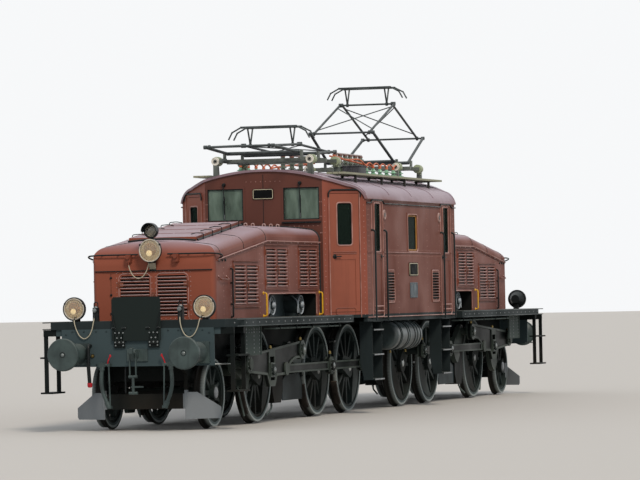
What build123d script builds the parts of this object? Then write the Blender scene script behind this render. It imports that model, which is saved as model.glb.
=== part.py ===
from build123d import *
import math
import os

os.makedirs("parts", exist_ok=True)

# Articulated electric locomotive: two rod-driven power trucks with hoods, and a central cab body.
# Millimetres. X runs along the locomotive, end 1 at -X. Z is up from the floor that the flanges stand on.
# The origin is on the centreline, midway between the ends, at the level of the flange tips.
# A distance u is measured outwards along X from the middle, so that both ends share the same values.

# Cab body along the locomotive, and the gap to the hoods
body_length = 6360
corner_length = 530
hood_gap = 82

# Spacings of the axles and shafts, from the middle outwards
inner_axles_apart = 3100
inner_to_middle = 1700
middle_to_jackshaft = 1520
middle_to_outer = 3000
outer_to_blind_shaft = 1100
outer_to_carrying = 2000
inner_overhang = 930
front_overhang = 860
buffer_length = 620

# Places that follow from them
body_end = body_length / 2
body_straight = body_end - corner_length
axle_inner = inner_axles_apart / 2
axle_middle = axle_inner + inner_to_middle
axle_outer = axle_middle + middle_to_outer
axle_carrying = axle_outer + outer_to_carrying
jackshaft_at = axle_middle + middle_to_jackshaft
blind_shaft_at = axle_outer + outer_to_blind_shaft
truck_pivot_at = (axle_inner + axle_middle) / 2
truck_inner_end = axle_inner - inner_overhang
beam_face = axle_carrying + front_overhang
buffer_face = beam_face + buffer_length

# Hood along the locomotive
front_deck = 730
brow_length = 290
hood_level_length = 2738
hood_tail = body_end + hood_gap
hood_knee = hood_tail + hood_level_length
hood_nose = beam_face - front_deck
hood_brow = hood_nose - brow_length

# Heights above the rail head
flange_depth = 28
deck_height = 1500
deck_depth = 110
frame_bottom = 520
frame_top = 1330
jackshaft_height = 940
blind_shaft_height = 780
buffer_height = 1050
gutter_height = 2600
hood_top_height = 2800
hood_crown = 62
hood_brow_drop = 250
brow_height = 2225

# Wheels and shafts
driving_diameter = 1350
carrying_diameter = 950
wheel_back = 680
tyre_width = 140
tyre_depth = 68
flange_thickness = 32
rim_depth = 36
hub_radius = 150
carrying_hub_radius = 110
axle_radius = 90
carrying_axle_radius = 75
shaft_radius = 95
driving_spokes = 12
carrying_spokes = 9
spoke_depth = 58
spoke_root = 74
spoke_tip = 46
crank_throw = 300
crank_pin_radius = 62
crank_boss_radius = 120
pin_end = 1185
pin_collar_radius = 82
crank_angle = {1: 166.0, 2: 42.0}
quartering = 90.0
weight_chord = 0.52
bearing_clearance = 0.5

# Drive rods
rod_plane = 1110
rod_thickness = 64
rod_web = 26
rib_width = 34
big_end_proud = 14
coupling_rod_depth = 128
knuckle_at = jackshaft_at + 790
guide_half_width = 112
guide_above = 190
guide_below = 150
block_height = 105
slide_clearance = 0.3

# Hoses and lamp cables
hose_radius = 27
cable_radius = 7

# Truck frame and deck
frame_plate_y = 600
frame_plate_thickness = 36
beam_half_width = 1110
beam_thickness = 32
beam_bottom = 870
deck_half_width = 1420
deck_front_half_width = 1270
deck_corner = 420
deck_plate = 24
deck_rim = 16
king_pin_radius = 60
centre_plate_radius = 260
centre_plate_depth = 34
pivot_gap = 0.3

# Hood
hood_half_width = 905
hood_shoulder = 100
hood_corner_radius = 70
gutter_size = 16
hatch_half_width = 500
hatch_lift = 60
louvre_slot = 26
louvre_depth = 30
louvre_column_gap = 84
louvre_margin = 55
door_panel_lift = 9
grille_half_width = 490
grille_bottom = 1560
grille_top = 2135
grille_rows = 12
recess_length = 2450
recess_inner = hood_tail + 218
recess_outer = recess_inner + recess_length
recess_top = 1840
recess_depth = 330
blower_places = (recess_outer - 550, recess_inner + 470)
blower_height = 1668
blower_radius = 162
blower_face = 815

# Cab body
body_half_width = 1475
body_end_half_width = 930
wall = 50
eave_height = 3270
roof_shoulder_height = 3490
roof_shoulder_y = 1270
roof_crown_height = 3740
roof_thickness = 36
roof_overhang = 28
eave_lip = 8
sill_depth = 110
floor_thickness = 46
cab_length = 1800
bulkhead_at = body_end - cab_length
bulkhead_thickness = 40
tank_length = 1520
tank_shift = 140
bulkhead_height = 3300
belt_height = 2440
band_lift = 8
frame_band = 34

# Doors
side_door_width = 590
side_door_at = body_straight - 300 - side_door_width / 2
side_door_head = 3250
end_door_width = 500
end_door_head = 3350
door_sill = 40
door_gap = 6
hinge_pin_radius = 12
hinge_inset = 16
hinge_length = 90
hinge_heights = (1700, 2400, 2950)

# Pantographs
pantograph_at = body_end - 480
pivot_spread = 445
pivot_height = 3990
pantograph_half_width = 560
lower_arm = 1193
upper_arm = lower_arm + pivot_spread
tube_radius = 19
fold_ratio = 0.852
rest_angle = {1: 3.0, 2: 22.0}
head_shaft_radius = 15
apex_clearance = 0.9
bow_half_width = 450
bow_rise = 290
strip_spread = 130
horn_reach = 650
horn_drop = 200
sleeve_at = 340
base_frame_height = 3880
base_rail_y = 655

END = {1: -1, 2: 1}
NEAR, FAR = -1, 1
SIDES = ((NEAR, "left"), (FAR, "right"))


# Helpers

def level(height):
    """Height above the floor of a height above the rail head."""
    return height + flange_depth


def block(x0, x1, y0, y1, z0, z1):
    low = (min(x0, x1), min(y0, y1), min(z0, z1))
    size = (abs(x1 - x0), abs(y1 - y0), abs(z1 - z0))
    return Pos(*low) * Box(*size, align=(Align.MIN, Align.MIN, Align.MIN))


def along_x(radius, x0, x1, y, z):
    return Pos((x0 + x1) / 2, y, z) * Rot(0, 90, 0) * Cylinder(radius, abs(x1 - x0))


def along_y(radius, y0, y1, x, z):
    return Pos(x, (y0 + y1) / 2, z) * Rot(90, 0, 0) * Cylinder(radius, abs(y1 - y0))


def along_z(radius, z0, z1, x, y):
    return Pos(x, y, (z0 + z1) / 2) * Cylinder(radius, abs(z1 - z0))


def bar(start, end, radius):
    """A round bar from one point to another."""
    a, b = Vector(*start), Vector(*end)
    run = b - a
    return Plane(origin=(a + b) / 2, z_dir=run) * Cylinder(radius, run.length)


def plane_xz(y):
    """Plane across the locomotive: its X is X and its Y is Z; it extrudes towards -Y."""
    return Plane(origin=(0, y, 0), x_dir=(1, 0, 0), z_dir=(0, -1, 0))


def plane_yz(x):
    """Plane along the locomotive: its X is Y and its Y is Z; it extrudes towards +X."""
    return Plane(origin=(x, 0, 0), x_dir=(0, 1, 0), z_dir=(1, 0, 0))


def profile_xz(points, y0, y1):
    """A polygon of (x, z) points, extruded between two values of y."""
    face = make_face(Polyline(*points, close=True))
    return extrude(plane_xz(max(y0, y1)) * face, abs(y1 - y0))


def profile_yz(points, x0, x1):
    """A polygon of (y, z) points, extruded between two values of x."""
    face = make_face(Polyline(*points, close=True))
    return extrude(plane_yz(min(x0, x1)) * face, abs(x1 - x0))


def profile_xy(points, z0, z1):
    """A polygon of (x, y) points, extruded between two heights."""
    face = make_face(Polyline(*points, close=True))
    return extrude(Pos(0, 0, min(z0, z1)) * face, abs(z1 - z0))


def fuse(pieces):
    first, *rest = pieces
    return first.fuse(*rest) if rest else first


def tube(points, radius, bend=0.45):
    """A flexible tube through points: straight runs joined by arcs as large as the runs allow."""
    route = [Vector(*p) for p in points]
    radii = []
    for a, b, c in zip(route, route[1:], route[2:]):
        turn = math.radians((b - a).get_angle(c - b))
        radii.append(bend * min((b - a).length, (c - b).length) / math.tan(turn / 2))
    path = FilletPolyline(*route, radius=radii)
    section = Plane(origin=path @ 0, z_dir=path % 0) * Circle(radius)
    return sweep(section, path=path)


def save(shape, name):
    pieces = shape if isinstance(shape, list) else [shape]
    solids = [solid for piece in pieces for solid in piece.solids()]
    made = solids[0] if len(solids) == 1 else Compound(children=solids)
    made.label = name
    export_step(made, f"parts/{name}.step")


# Wheels, about the Y axis at the origin, the back face at wheel_back and the rim outwards

def tyre_and_rim(diameter):
    r = diameter / 2
    back, face = wheel_back, wheel_back + tyre_width
    rim_in = r - tyre_depth - rim_depth
    points = [(rim_in, back + 22), (r - tyre_depth, back + 22), (r - tyre_depth, back),
              (r + flange_depth - 8, back), (r + flange_depth, back + 8),
              (r + flange_depth, back + flange_thickness - 10), (r + 4, back + flange_thickness + 8),
              (r, back + 60), (r - 4, face), (r - tyre_depth, face), (r - tyre_depth, face - 16),
              (rim_in, face - 16)]
    return revolve(make_face(Polyline(*points, close=True)), Axis.Y, 360)


def spoked_wheel(diameter, hub, spokes, throw=0):
    """One wheel: tyre, rim, hub and tapered spokes, with the crank boss and balance weight on a driving wheel."""
    back, face = wheel_back, wheel_back + tyre_width
    rim_in = diameter / 2 - tyre_depth - rim_depth
    made = [tyre_and_rim(diameter), along_y(hub, back - 8, face + 26, 0, 0)]
    middle = (back + face) / 2 + 3
    root, tip = hub * 0.6, rim_in + 12
    outline = [(root, -spoke_root / 2), (tip, -spoke_tip / 2), (tip, spoke_tip / 2), (root, spoke_root / 2)]
    spoke = profile_xz(outline, middle - spoke_depth / 2, middle + spoke_depth / 2)
    for n in range(spokes):
        made.append(Rot(0, -360 * (n + 0.5) / spokes, 0) * spoke)
    if throw:
        made.append(crank_arm(throw, back + 40, face + 26))
        made.append(balance_weight(rim_in + 8, back + 26, face - 6))
    return fuse(made)


def crank_arm(throw, y0, y1):
    """The boss that carries a crank pin, out along +X from the centre."""
    outline = make_hull(Circle(hub_radius).edges() + (Pos(throw, 0) * Circle(crank_boss_radius)).edges())
    return extrude(plane_xz(max(y0, y1)) * outline, abs(y1 - y0))


def balance_weight(radius, y0, y1):
    """A crescent between the spokes, opposite the crank pin."""
    disc = along_y(radius, y0, y1, 0, 0)
    return disc & block(-radius * 1.1, -radius * weight_chord, y0 - 1, y1 + 1, -radius, radius)


driving_wheel = spoked_wheel(driving_diameter, hub_radius, driving_spokes, crank_throw)
carrying_wheel = spoked_wheel(carrying_diameter, carrying_hub_radius, carrying_spokes)


def crank_phase(end, side):
    """Angle of the crank pins above the +X direction."""
    return crank_angle[end] + (quartering if side == FAR else 0.0)


def pin_offset(end, side):
    angle = math.radians(crank_phase(end, side))
    return crank_throw * math.cos(angle), crank_throw * math.sin(angle)


def on_side(shape, side):
    return shape if side == FAR else mirror(shape, Plane.XZ)


def crank_pin(side, inner):
    """A crank pin out to pin_end, with the collar that keeps the rod on it."""
    rod_outer = rod_plane + rod_thickness / 2 + big_end_proud
    pin = along_y(crank_pin_radius, side * inner, side * pin_end, crank_throw, 0)
    collar = along_y(pin_collar_radius, side * (rod_outer + slide_clearance), side * pin_end, crank_throw, 0)
    return pin.fuse(collar)


def driving_wheelset(end, at):
    made = along_y(axle_radius, -wheel_back - 60, wheel_back + 60, 0, 0)
    for side, _ in SIDES:
        wheel = on_side(driving_wheel, side).fuse(crank_pin(side, wheel_back + 60))
        made = made.fuse(Rot(0, -crank_phase(end, side), 0) * wheel)
    return Pos(END[end] * at, 0, level(driving_diameter / 2)) * made


def carrying_wheelset(end):
    made = along_y(carrying_axle_radius, -wheel_back - 60, wheel_back + 60, 0, 0)
    for side, _ in SIDES:
        made = made.fuse(on_side(carrying_wheel, side))
    return Pos(END[end] * axle_carrying, 0, level(carrying_diameter / 2)) * made


def crank_shaft(end, at, height, weight_radius):
    """A shaft with a crank and a balance weight at each end, outside the wheels."""
    inner, outer = wheel_back + tyre_width + 40, wheel_back + tyre_width + 125
    made = along_y(shaft_radius, -outer, outer, 0, 0)
    for side, _ in SIDES:
        y0, y1 = sorted((side * inner, side * outer))
        arm = crank_arm(crank_throw, y0, y1)
        disc = along_y(weight_radius, y0, y1, 0, 0)
        wedge = disc & block(-weight_radius, -60, y0, y1, -weight_radius * 0.62, weight_radius * 0.62)
        made = made.fuse(Rot(0, -crank_phase(end, side), 0) * arm.fuse(wedge, crank_pin(side, inner)))
    return Pos(END[end] * at, 0, level(height)) * made


# Drive rods: the triangle frame with its sliding block, and the coupling rod

def triangle_outline(at):
    """Outline of the triangle frame, through a function that places a (u, height) point on this side."""
    wheel_height = driving_diameter / 2
    jack, blind = (jackshaft_at, jackshaft_height), (blind_shaft_at, blind_shaft_height)
    strap = guide_half_width + rib_width
    top_left = at(blind[0] + 40, blind[1] + 128)
    top_right = at(jack[0] - 20, jack[1] + 134)
    toe = at(jack[0] - 130, jack[1] - 30)
    heel = at(jack[0] + 90, jack[1] - 128)
    with BuildSketch() as sketch:
        with BuildLine():
            Line(top_left, top_right)
            ThreePointArc(top_right, at(jack[0] - 122, jack[1] + 60), toe)
            ThreePointArc(toe, at(jack[0] - 60, jack[1] - 118), heel)
            ThreePointArc(heel, at(jack[0] + 440, jack[1] - 150), at(knuckle_at - 95, wheel_height + 6))
            Line(at(knuckle_at - 95, wheel_height + 6), at(knuckle_at - 60, wheel_height - 78))
            Line(at(knuckle_at - 60, wheel_height - 78), at(axle_outer - strap - 90, wheel_height - 90))
            Line(at(axle_outer - strap - 90, wheel_height - 90), at(axle_outer - strap + 20, wheel_height - 236))
            Line(at(axle_outer - strap + 20, wheel_height - 236), at(axle_outer + strap - 20, wheel_height - 236))
            Line(at(axle_outer + strap - 20, wheel_height - 236), at(axle_outer + strap + 90, wheel_height - 70))
            Line(at(axle_outer + strap + 90, wheel_height - 70), at(blind[0] + 60, blind[1] - 118))
            ThreePointArc(at(blind[0] + 60, blind[1] - 118), at(blind[0] + 132, blind[1]), top_left)
        make_face()
    return sketch.sketch


def drive_rods(end, side):
    s = END[end]
    dx, dz = pin_offset(end, side)
    wheel_height = driving_diameter / 2
    half = rod_thickness / 2
    y0, y1 = side * rod_plane - half, side * rod_plane + half

    def at(u, height):
        return s * u + dx, level(height) + dz

    def ring(point, radius):
        return along_y(radius, y0 - big_end_proud, y1 + big_end_proud, *point)

    jack, blind = at(jackshaft_at, jackshaft_height), at(blind_shaft_at, blind_shaft_height)
    first, knuckle = at(axle_outer, wheel_height), at(knuckle_at, wheel_height)
    middle, inner = at(axle_middle, wheel_height), at(axle_inner, wheel_height)

    outline = triangle_outline(at)
    frame = extrude(plane_xz(y1) * outline, rod_thickness)
    pocket = offset(outline, -rib_width)
    strap_low = at(axle_outer - guide_half_width - rib_width, 0)[0]
    strap_high = at(axle_outer + guide_half_width + rib_width, 0)[0]
    strap = block(strap_low, strap_high, y0 - 1, y1 + 1, first[1] - 600, first[1] + 600)
    recess = (rod_thickness - rod_web) / 2
    for start in (y1, y0 + recess):
        hollow = extrude(plane_xz(start) * pocket, recess)
        frame = frame.cut(hollow.cut(strap))
    frame = frame.fuse(ring(jack, 138), ring(blind, 132), ring(knuckle, 96))
    guide = block(first[0] - guide_half_width, first[0] + guide_half_width, y0 - 1, y1 + 1,
                  first[1] - guide_below, first[1] + guide_above)
    frame = frame.cut(guide)

    reach = coupling_rod_depth / 2
    left, right = min(knuckle[0], inner[0]), max(knuckle[0], inner[0])
    rod = block(left, right, y0 + 6, y1 - 6, middle[1] - reach, middle[1] + reach)
    for a, b in ((knuckle, middle), (middle, inner)):
        low, high = min(a[0], b[0]) + 190, max(a[0], b[0]) - 190
        for flute in ((y0, y0 + 20), (y1 - 20, y1)):
            rod = rod.cut(block(low, high, *flute, middle[1] - reach + 24, middle[1] + reach - 24))
    made = [frame, rod, ring(middle, 130), ring(inner, 122)]
    for point in (middle, inner):
        made.append(along_z(24, point[1] + 100, point[1] + 172, point[0], side * rod_plane))
        for lean in (-1, 1):
            x = point[0] + lean * 96
            made.append(block(x - 26, x + 26, y0 - 4, y1 + 4, point[1] - 96, point[1] + 96))
    made = fuse(made)
    for pin in (jack, blind, middle, inner):
        made = made.cut(along_y(crank_pin_radius + bearing_clearance, y0 - 60, y1 + 60, *pin))
    wide = guide_half_width - slide_clearance
    slide = block(first[0] - wide, first[0] + wide, y0 - big_end_proud, y1 + big_end_proud,
                  first[1] - block_height, first[1] + block_height)
    slide = slide.cut(along_y(crank_pin_radius + bearing_clearance, y0 - 60, y1 + 60, *first))
    return [made, slide]


# Truck frame

def cross_plates(s):
    inner = frame_plate_y - frame_plate_thickness / 2 + 4
    places = (truck_inner_end + 30, truck_pivot_at, (axle_middle + jackshaft_at) / 2 - 30,
              (jackshaft_at + axle_outer) / 2, (axle_outer + blind_shaft_at) / 2 + 220, beam_face - 560)
    low, high = level(frame_bottom + 130), level(frame_top - 60)
    return [block(s * (u - 22), s * (u + 22), -inner, inner, low, high) for u in places]


def frame_plates(s):
    outline = [(truck_inner_end, frame_bottom + 150), (truck_inner_end, frame_top),
               (beam_face - beam_thickness, frame_top), (beam_face - beam_thickness, beam_bottom),
               (axle_carrying + 340, frame_bottom + 90), (axle_carrying - 380, frame_bottom + 30),
               (axle_outer + 300, frame_bottom), (truck_inner_end + 300, frame_bottom)]
    points = [(s * u, level(h)) for u, h in outline]
    half = frame_plate_thickness / 2
    return [profile_xz(points, side * frame_plate_y - half, side * frame_plate_y + half) for side, _ in SIDES]


def pivot_cover(s):
    """Top plate of the truck with the seat of the centre plate and the bore of the king pin."""
    x = s * truck_pivot_at
    top = level(deck_height - floor_thickness - centre_plate_depth) - pivot_gap
    cover = block(s * truck_inner_end, s * (beam_face - beam_thickness), -frame_plate_y, frame_plate_y,
                  level(frame_top), level(deck_height - deck_depth))
    cover = cover.fuse(along_z(centre_plate_radius, level(frame_top), top, x, 0))
    return cover.cut(along_z(king_pin_radius + bearing_clearance, level(frame_top) - 10, top + 10, x, 0))


def front_beam(s):
    """Buffer beam, and the fall plate on its two hinge brackets."""
    z0, z1 = level(beam_bottom), level(deck_height - deck_depth)
    made = [block(s * (beam_face - beam_thickness), s * beam_face, -beam_half_width, beam_half_width, z0, z1)]
    plate = [(-355, 1225), (355, 1225), (355, 1790), (330, 1830), (-330, 1830), (-355, 1790)]
    points = [(y, level(h)) for y, h in plate]
    made.append(profile_yz(points, s * (beam_face + 30), s * (beam_face + 42)))
    for side, _ in SIDES:
        y = side * 250
        made.append(block(s * beam_face, s * (beam_face + 30), y - 80, y + 80, level(1130), level(1380)))
    return made


def snow_ploughs(s):
    """A swept blade in front of each carrying wheel, its bracket, and the plate between the two."""
    u0, sweep, reach = axle_carrying + 600, 190, 500
    blade = [(0, 130), (reach - 20, 130), (reach, 160), (reach, 290), (170, 500), (0, 500)]
    made = [block(s * (u0 - 28), s * (u0 - 4), -frame_plate_y, frame_plate_y, level(270), level(480))]
    for side, _ in SIDES:
        run = Vector(-s * sweep, side * math.sqrt(reach ** 2 - sweep ** 2), 0)
        origin = Vector(s * u0, side * (frame_plate_y - 10), 0)
        normal = run.cross(Vector(0, 0, 1))
        plane = Plane(origin=origin, x_dir=run, z_dir=normal)
        up = 1 if plane.y_dir.Z > 0 else -1
        face = make_face(Polyline(*[(a, up * level(h)) for a, h in blade], close=True))
        made.append(extrude(plane * face, 7, both=True))
        made.append(block(s * (u0 - 70), s * (u0 + 4), side * (frame_plate_y - 18), side * (frame_plate_y + 18),
                          level(300), level(beam_bottom - 20)))
    return made


def front_steps(s):
    """Two treads between hangers, under each front corner of the deck."""
    made = []
    u0, u1 = beam_face - 530, beam_face - 50
    for side, _ in SIDES:
        y = side * (deck_half_width - 60)
        for u in (u0, u1):
            made.append(block(s * (u - 8), s * (u + 8), y - 30, y + 30, level(500), level(deck_height - deck_depth)))
        for height in (500, 990):
            made.append(block(s * (u0 - 8), s * (u1 + 8), y - 90, y + 90, level(height), level(height + 24)))
        made.append(block(s * (u0 - 40), s * (u0 + 60), side * (frame_plate_y - 10), y + side * 30,
                          level(deck_height - deck_depth - 90), level(deck_height - deck_depth)))
        made.append(block(s * (u1 - 20), s * (u1 + 22), side * (beam_half_width - 40), y + side * 30,
                          level(deck_height - deck_depth - 90), level(deck_height - deck_depth)))
    return made


def sand_boxes(s):
    made = []
    for side, _ in SIDES:
        y0, y1 = side * (frame_plate_y + 10), side * (frame_plate_y + 215)
        outline = [(axle_outer - 1260, frame_bottom + 560), (axle_outer - 740, frame_bottom + 560),
                   (axle_outer - 740, 420), (axle_outer - 830, 240), (axle_outer - 1150, 240), (axle_outer - 1260, 420)]
        made.append(profile_xz([(s * u, level(h)) for u, h in outline], y0, y1))
    return made


def truck_frame(end):
    s = END[end]
    made = fuse(frame_plates(s) + cross_plates(s) + [pivot_cover(s)] + front_beam(s))
    made = made.fuse(*snow_ploughs(s), *front_steps(s), *sand_boxes(s))
    tread = driving_diameter / 2
    bearings = [  # place along, height, journal radius
        (axle_carrying, carrying_diameter / 2, carrying_axle_radius),
        (axle_outer, tread, axle_radius),
        (axle_middle, tread, axle_radius),
        (axle_inner, tread, axle_radius),
        (jackshaft_at, jackshaft_height, shaft_radius),
        (blind_shaft_at, blind_shaft_height, shaft_radius)]
    boxes = [block(s * (u - 150), s * (u + 150), side * (frame_plate_y - 52), side * (frame_plate_y + 52),
                   level(h - 135), level(h + 150)) for u, h, _ in bearings for side, _ in SIDES]
    made = made.fuse(*boxes)
    for u, h, radius in bearings:
        reach = frame_plate_y + 90
        made = made.cut(along_y(radius + bearing_clearance, -reach, reach, s * u, level(h)))
        reach = frame_plate_y - 90
        made = made.cut(along_y(radius + 40, -reach, reach, s * u, level(h)))
    return made


def buffers(end):
    """Two side buffers with their sleeves, and the draw hook with its screw coupling."""
    s = END[end]
    face = buffer_face
    z = level(buffer_height)
    made = []
    for side, _ in SIDES:
        y = side * 875
        base = block(s * beam_face, s * (beam_face + 26), y - 170, y + 170, z - 150, z + 150)
        sleeve = Pos(s * (beam_face + 150), y, z) * Rot(0, s * 90, 0) * Cone(150, 112, 300)
        collar = along_x(124, s * (beam_face + 270), s * (beam_face + 306), y, z)
        plunger = along_x(82, s * (beam_face + 290), s * (face - 40), y, z)
        disc = along_x(225, s * (face - 45), s * face, y, z)
        rims = disc.edges().filter_by(GeomType.CIRCLE).sort_by(Axis.X)
        disc = fillet(rims[-1] if s > 0 else rims[0], 18)
        dish = Pos(s * (face - 75), y, z) * Rot(0, s * 90, 0) * Cone(110, 200, 62)
        made.append(fuse([base, sleeve, collar, plunger, disc, dish]))
    shank = block(s * beam_face, s * (beam_face + 150), -30, 30, z - 45, z + 45)
    hook = [(120, -60), (250, -70), (300, 0), (290, 70), (240, 80), (240, 10), (200, 0), (170, 45), (120, 60)]
    hook = profile_xz([(s * (beam_face + u), z + h) for u, h in hook], -24, 24)
    plate = block(s * beam_face, s * (beam_face + 20), -150, 150, z - 110, z + 60)
    eye = s * (beam_face + 209)
    links = [block(eye - 13, eye + 13, y, y + 16, z - 330, z + 26) for y in (-52, 36)]
    links += [along_y(18, -56, 56, eye, z + 2), along_y(20, -62, 62, eye, z - 320)]
    screw = along_z(19, z - 560, z - 300, eye, 0)
    handle = block(eye - 11, eye + 11, -150, 30, z - 470, z - 448)
    links.append(along_y(20, -62, 62, eye, z - 545))
    made.append(fuse([shank, hook, plate, screw, handle] + links))
    return made + [brake_hose(s, side) for side, _ in SIDES]


def brake_hose(s, side):
    """Cock under the beam and its hose, held at the foot by its coupling head and a stay from the beam."""
    x = s * (beam_face + 62)
    cock = block(s * beam_face, s * (beam_face + 84), side * 455, side * 545, level(865), level(925))
    cock = cock.fuse(along_z(34, level(820), level(870), x, side * 500), along_y(20, side * 420, side * 460, x, level(895)))
    route = [(500, 850), (512, 740), (516, 620), (492, 500), (450, 400), (425, 340)]
    hose = tube([(x, side * y, level(h)) for y, h in route], hose_radius)
    head = Plane(origin=(x, side * 424, level(338)), z_dir=(0, -side * 0.39, -0.92)) * Cylinder(36, 90)
    claw = block(x - 30, x + 30, side * 372, side * 424, level(292), level(330))
    stay = bar((x, side * 392, level(320)), (x, side * 404, level(beam_bottom + 20)), 11)
    lug = block(s * beam_face, x + s * 14, side * 385, side * 420, level(beam_bottom), level(beam_bottom + 44))
    return fuse([cock, hose, head, claw, stay, lug])


def running_plate(end):
    """Deck with its edge rim, the floor beams under it and the riveted plates that hang beside the wheels."""
    s = END[end]
    outline = [(hood_tail, -deck_half_width), (hood_tail, deck_half_width), (beam_face - deck_corner, deck_half_width),
               (beam_face, deck_front_half_width), (beam_face, -deck_front_half_width),
               (beam_face - deck_corner, -deck_half_width)]
    inside = [(hood_tail + deck_rim, -deck_half_width + deck_rim), (hood_tail + deck_rim, deck_half_width - deck_rim),
              (beam_face - deck_corner - 6, deck_half_width - deck_rim),
              (beam_face - deck_rim, deck_front_half_width - 12), (beam_face - deck_rim, -deck_front_half_width + 12),
              (beam_face - deck_corner - 6, -deck_half_width + deck_rim)]
    low, under = level(deck_height - deck_depth), level(deck_height - deck_plate)
    made = profile_xy([(s * u, y) for u, y in outline], under, level(deck_height))
    rim = profile_xy([(s * u, y) for u, y in outline], low, under)
    made = made.fuse(rim.cut(profile_xy([(s * u, y) for u, y in inside], low - 1, under + 1)))
    beams = []
    for u in (hood_tail + 440, jackshaft_at, axle_outer - 650, blind_shaft_at - 450, blind_shaft_at + 350, beam_face - 610):
        y = deck_half_width - deck_rim
        beams.append(block(s * (u - 7), s * (u + 7), -y - 2, y + 2, low, under + 2))
    for side, _ in SIDES:
        y0, y1 = side * 1200, side * 1214
        a, b = axle_carrying - 960, axle_carrying - 210
        beams.append(block(s * a, s * b, y0, y1, level(980), under + 2))
        for u in (a, b - 30):
            beams.append(block(s * u, s * (u + 30), side * 1190, side * 1226, level(980), under))
    return made.fuse(*beams)


# Hood

def hood_section(s, u, gutter):
    """Cross section of the hood at u: upright sides to the gutter, rounded shoulders and a slightly crowned top."""
    y, top = hood_half_width, gutter + hood_top_height - gutter_height
    turn = y - hood_shoulder * 1.6
    low = level(deck_height)
    with BuildSketch(plane_yz(s * u)) as sketch:
        with BuildLine():
            Line((-y, low), (y, low))
            Line((y, low), (y, level(gutter)))
            ThreePointArc((y, level(gutter)), (y - hood_shoulder * 0.42, level(top) - 52), (turn, level(top)))
            ThreePointArc((turn, level(top)), (0, level(top) + hood_crown), (-turn, level(top)))
            ThreePointArc((-turn, level(top)), (hood_shoulder * 0.42 - y, level(top) - 52), (-y, level(gutter)))
            Line((-y, level(gutter)), (-y, low))
        make_face()
    return sketch.sketch


def slope():
    return hood_brow_drop / (hood_brow - hood_knee)


def hood_blank(s):
    """Level part and sloped part, with the brow rounded over and the front corners rounded."""
    end_gutter = gutter_height - slope() * (hood_nose - hood_knee)
    knee = hood_section(s, hood_knee, gutter_height)
    level_part = loft([hood_section(s, hood_tail, gutter_height), knee], ruled=True)
    sloped_part = loft([knee, hood_section(s, hood_nose, end_gutter)], ruled=True)
    brow_top = level(hood_top_height - hood_brow_drop + hood_crown)
    nose, mid = s * hood_nose, s * (hood_nose - 0.3 * (hood_nose - hood_brow))
    high = level(hood_top_height + 200)
    with BuildSketch() as sketch:
        with BuildLine():
            Line((s * hood_tail, level(deck_height)), (nose, level(deck_height)))
            Line((nose, level(deck_height)), (nose, level(brow_height)))
            ThreePointArc((nose, level(brow_height)), (mid, level(brow_height) + 0.68 * (brow_top - level(brow_height))),
                          (s * hood_brow, brow_top))
            Line((s * hood_brow, brow_top), (s * hood_knee, high))
            Line((s * hood_knee, high), (s * hood_tail, high))
            Line((s * hood_tail, high), (s * hood_tail, level(deck_height)))
        make_face()
    brow = extrude(plane_xz(hood_half_width + 10) * sketch.sketch, 2 * hood_half_width + 20)
    plan = block(s * hood_tail, nose, -hood_half_width, hood_half_width, level(deck_height), high)
    corners = plan.edges().filter_by(Axis.Z).group_by(Axis.X)[-1 if s > 0 else 0]
    plan = fillet(corners, hood_corner_radius)
    return level_part.fuse(sloped_part) & brow & plan


side_louvres = [  # outer end, inner end, bottom, top, rows
    (hood_nose - 820, hood_nose - 1980, 1670, 2290, 11),
    (hood_knee + 60, hood_knee - 1050, recess_top + 70, gutter_height - 70, 11),
    (hood_tail + 1130, hood_tail + 160, recess_top + 70, gutter_height - 70, 11)]


def louvre_panel(s, side, outer, inner, low, high, rows):
    """A raised door on the hood's side, and the cutters of its two columns of slots."""
    face = side * hood_half_width
    panel = block(s * outer, s * inner, face - side, face + side * door_panel_lift, level(low), level(high))
    middle = (outer + inner) / 2
    slots = []
    for a, b in ((outer - louvre_margin, middle + louvre_column_gap / 2),
                 (middle - louvre_column_gap / 2, inner + louvre_margin)):
        pitch = (high - low - 2 * louvre_margin) / (rows - 1)
        for row in range(rows):
            z = level(low + louvre_margin + row * pitch) - louvre_slot / 2
            slots.append(block(s * a, s * b, face + side * 20, face - side * louvre_depth, z, z + louvre_slot))
    return panel, slots


def grille_slots(s):
    """Two grilles in the nose, side by side, their upper outer corners rounded."""
    pitch = (grille_top - grille_bottom) / grille_rows
    slots = []
    for side, _ in SIDES:
        area = block(s * (hood_nose - louvre_depth), s * (hood_nose + 2), side * 60, side * grille_half_width,
                     level(grille_bottom), level(grille_top))
        corner = area.edges().filter_by(Axis.X).sort_by(Axis.Z)[-2:]
        area = fillet([e for e in corner if abs(e.center().Y) > 100], 60)
        rows = []
        for row in range(grille_rows):
            z = level(grille_bottom + row * pitch) + 8
            rows.append(block(s * (hood_nose - louvre_depth - 1), s * (hood_nose + 3), side * 50,
                              side * (grille_half_width + 5), z, z + pitch * 0.58))
        slots += [area & row for row in rows]
    return slots


def gutters(s):
    """A strip along each side under the shoulder, following the knee."""
    end = hood_nose - 90
    drop = slope() * (end - hood_knee)
    path = [(hood_tail + 4, gutter_height), (hood_knee, gutter_height), (end, gutter_height - drop)]
    points = [(s * u, level(h)) for u, h in path] + [(s * u, level(h - gutter_size)) for u, h in reversed(path)]
    return [profile_xz(points, side * (hood_half_width - 4), side * (hood_half_width + gutter_size)) for side, _ in SIDES]


def hatch(s):
    """The raised cover on the slope of the hood."""
    top = hood_top_height + hood_crown * 0.55
    end = hood_brow - 130
    path = [(hood_knee - 120, top), (hood_knee, top), (end, top - slope() * (end - hood_knee))]
    points = [(s * u, level(h + hatch_lift)) for u, h in path] + [(s * u, level(h - 60)) for u, h in reversed(path)]
    return profile_xz(points, -hatch_half_width, hatch_half_width)


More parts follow.
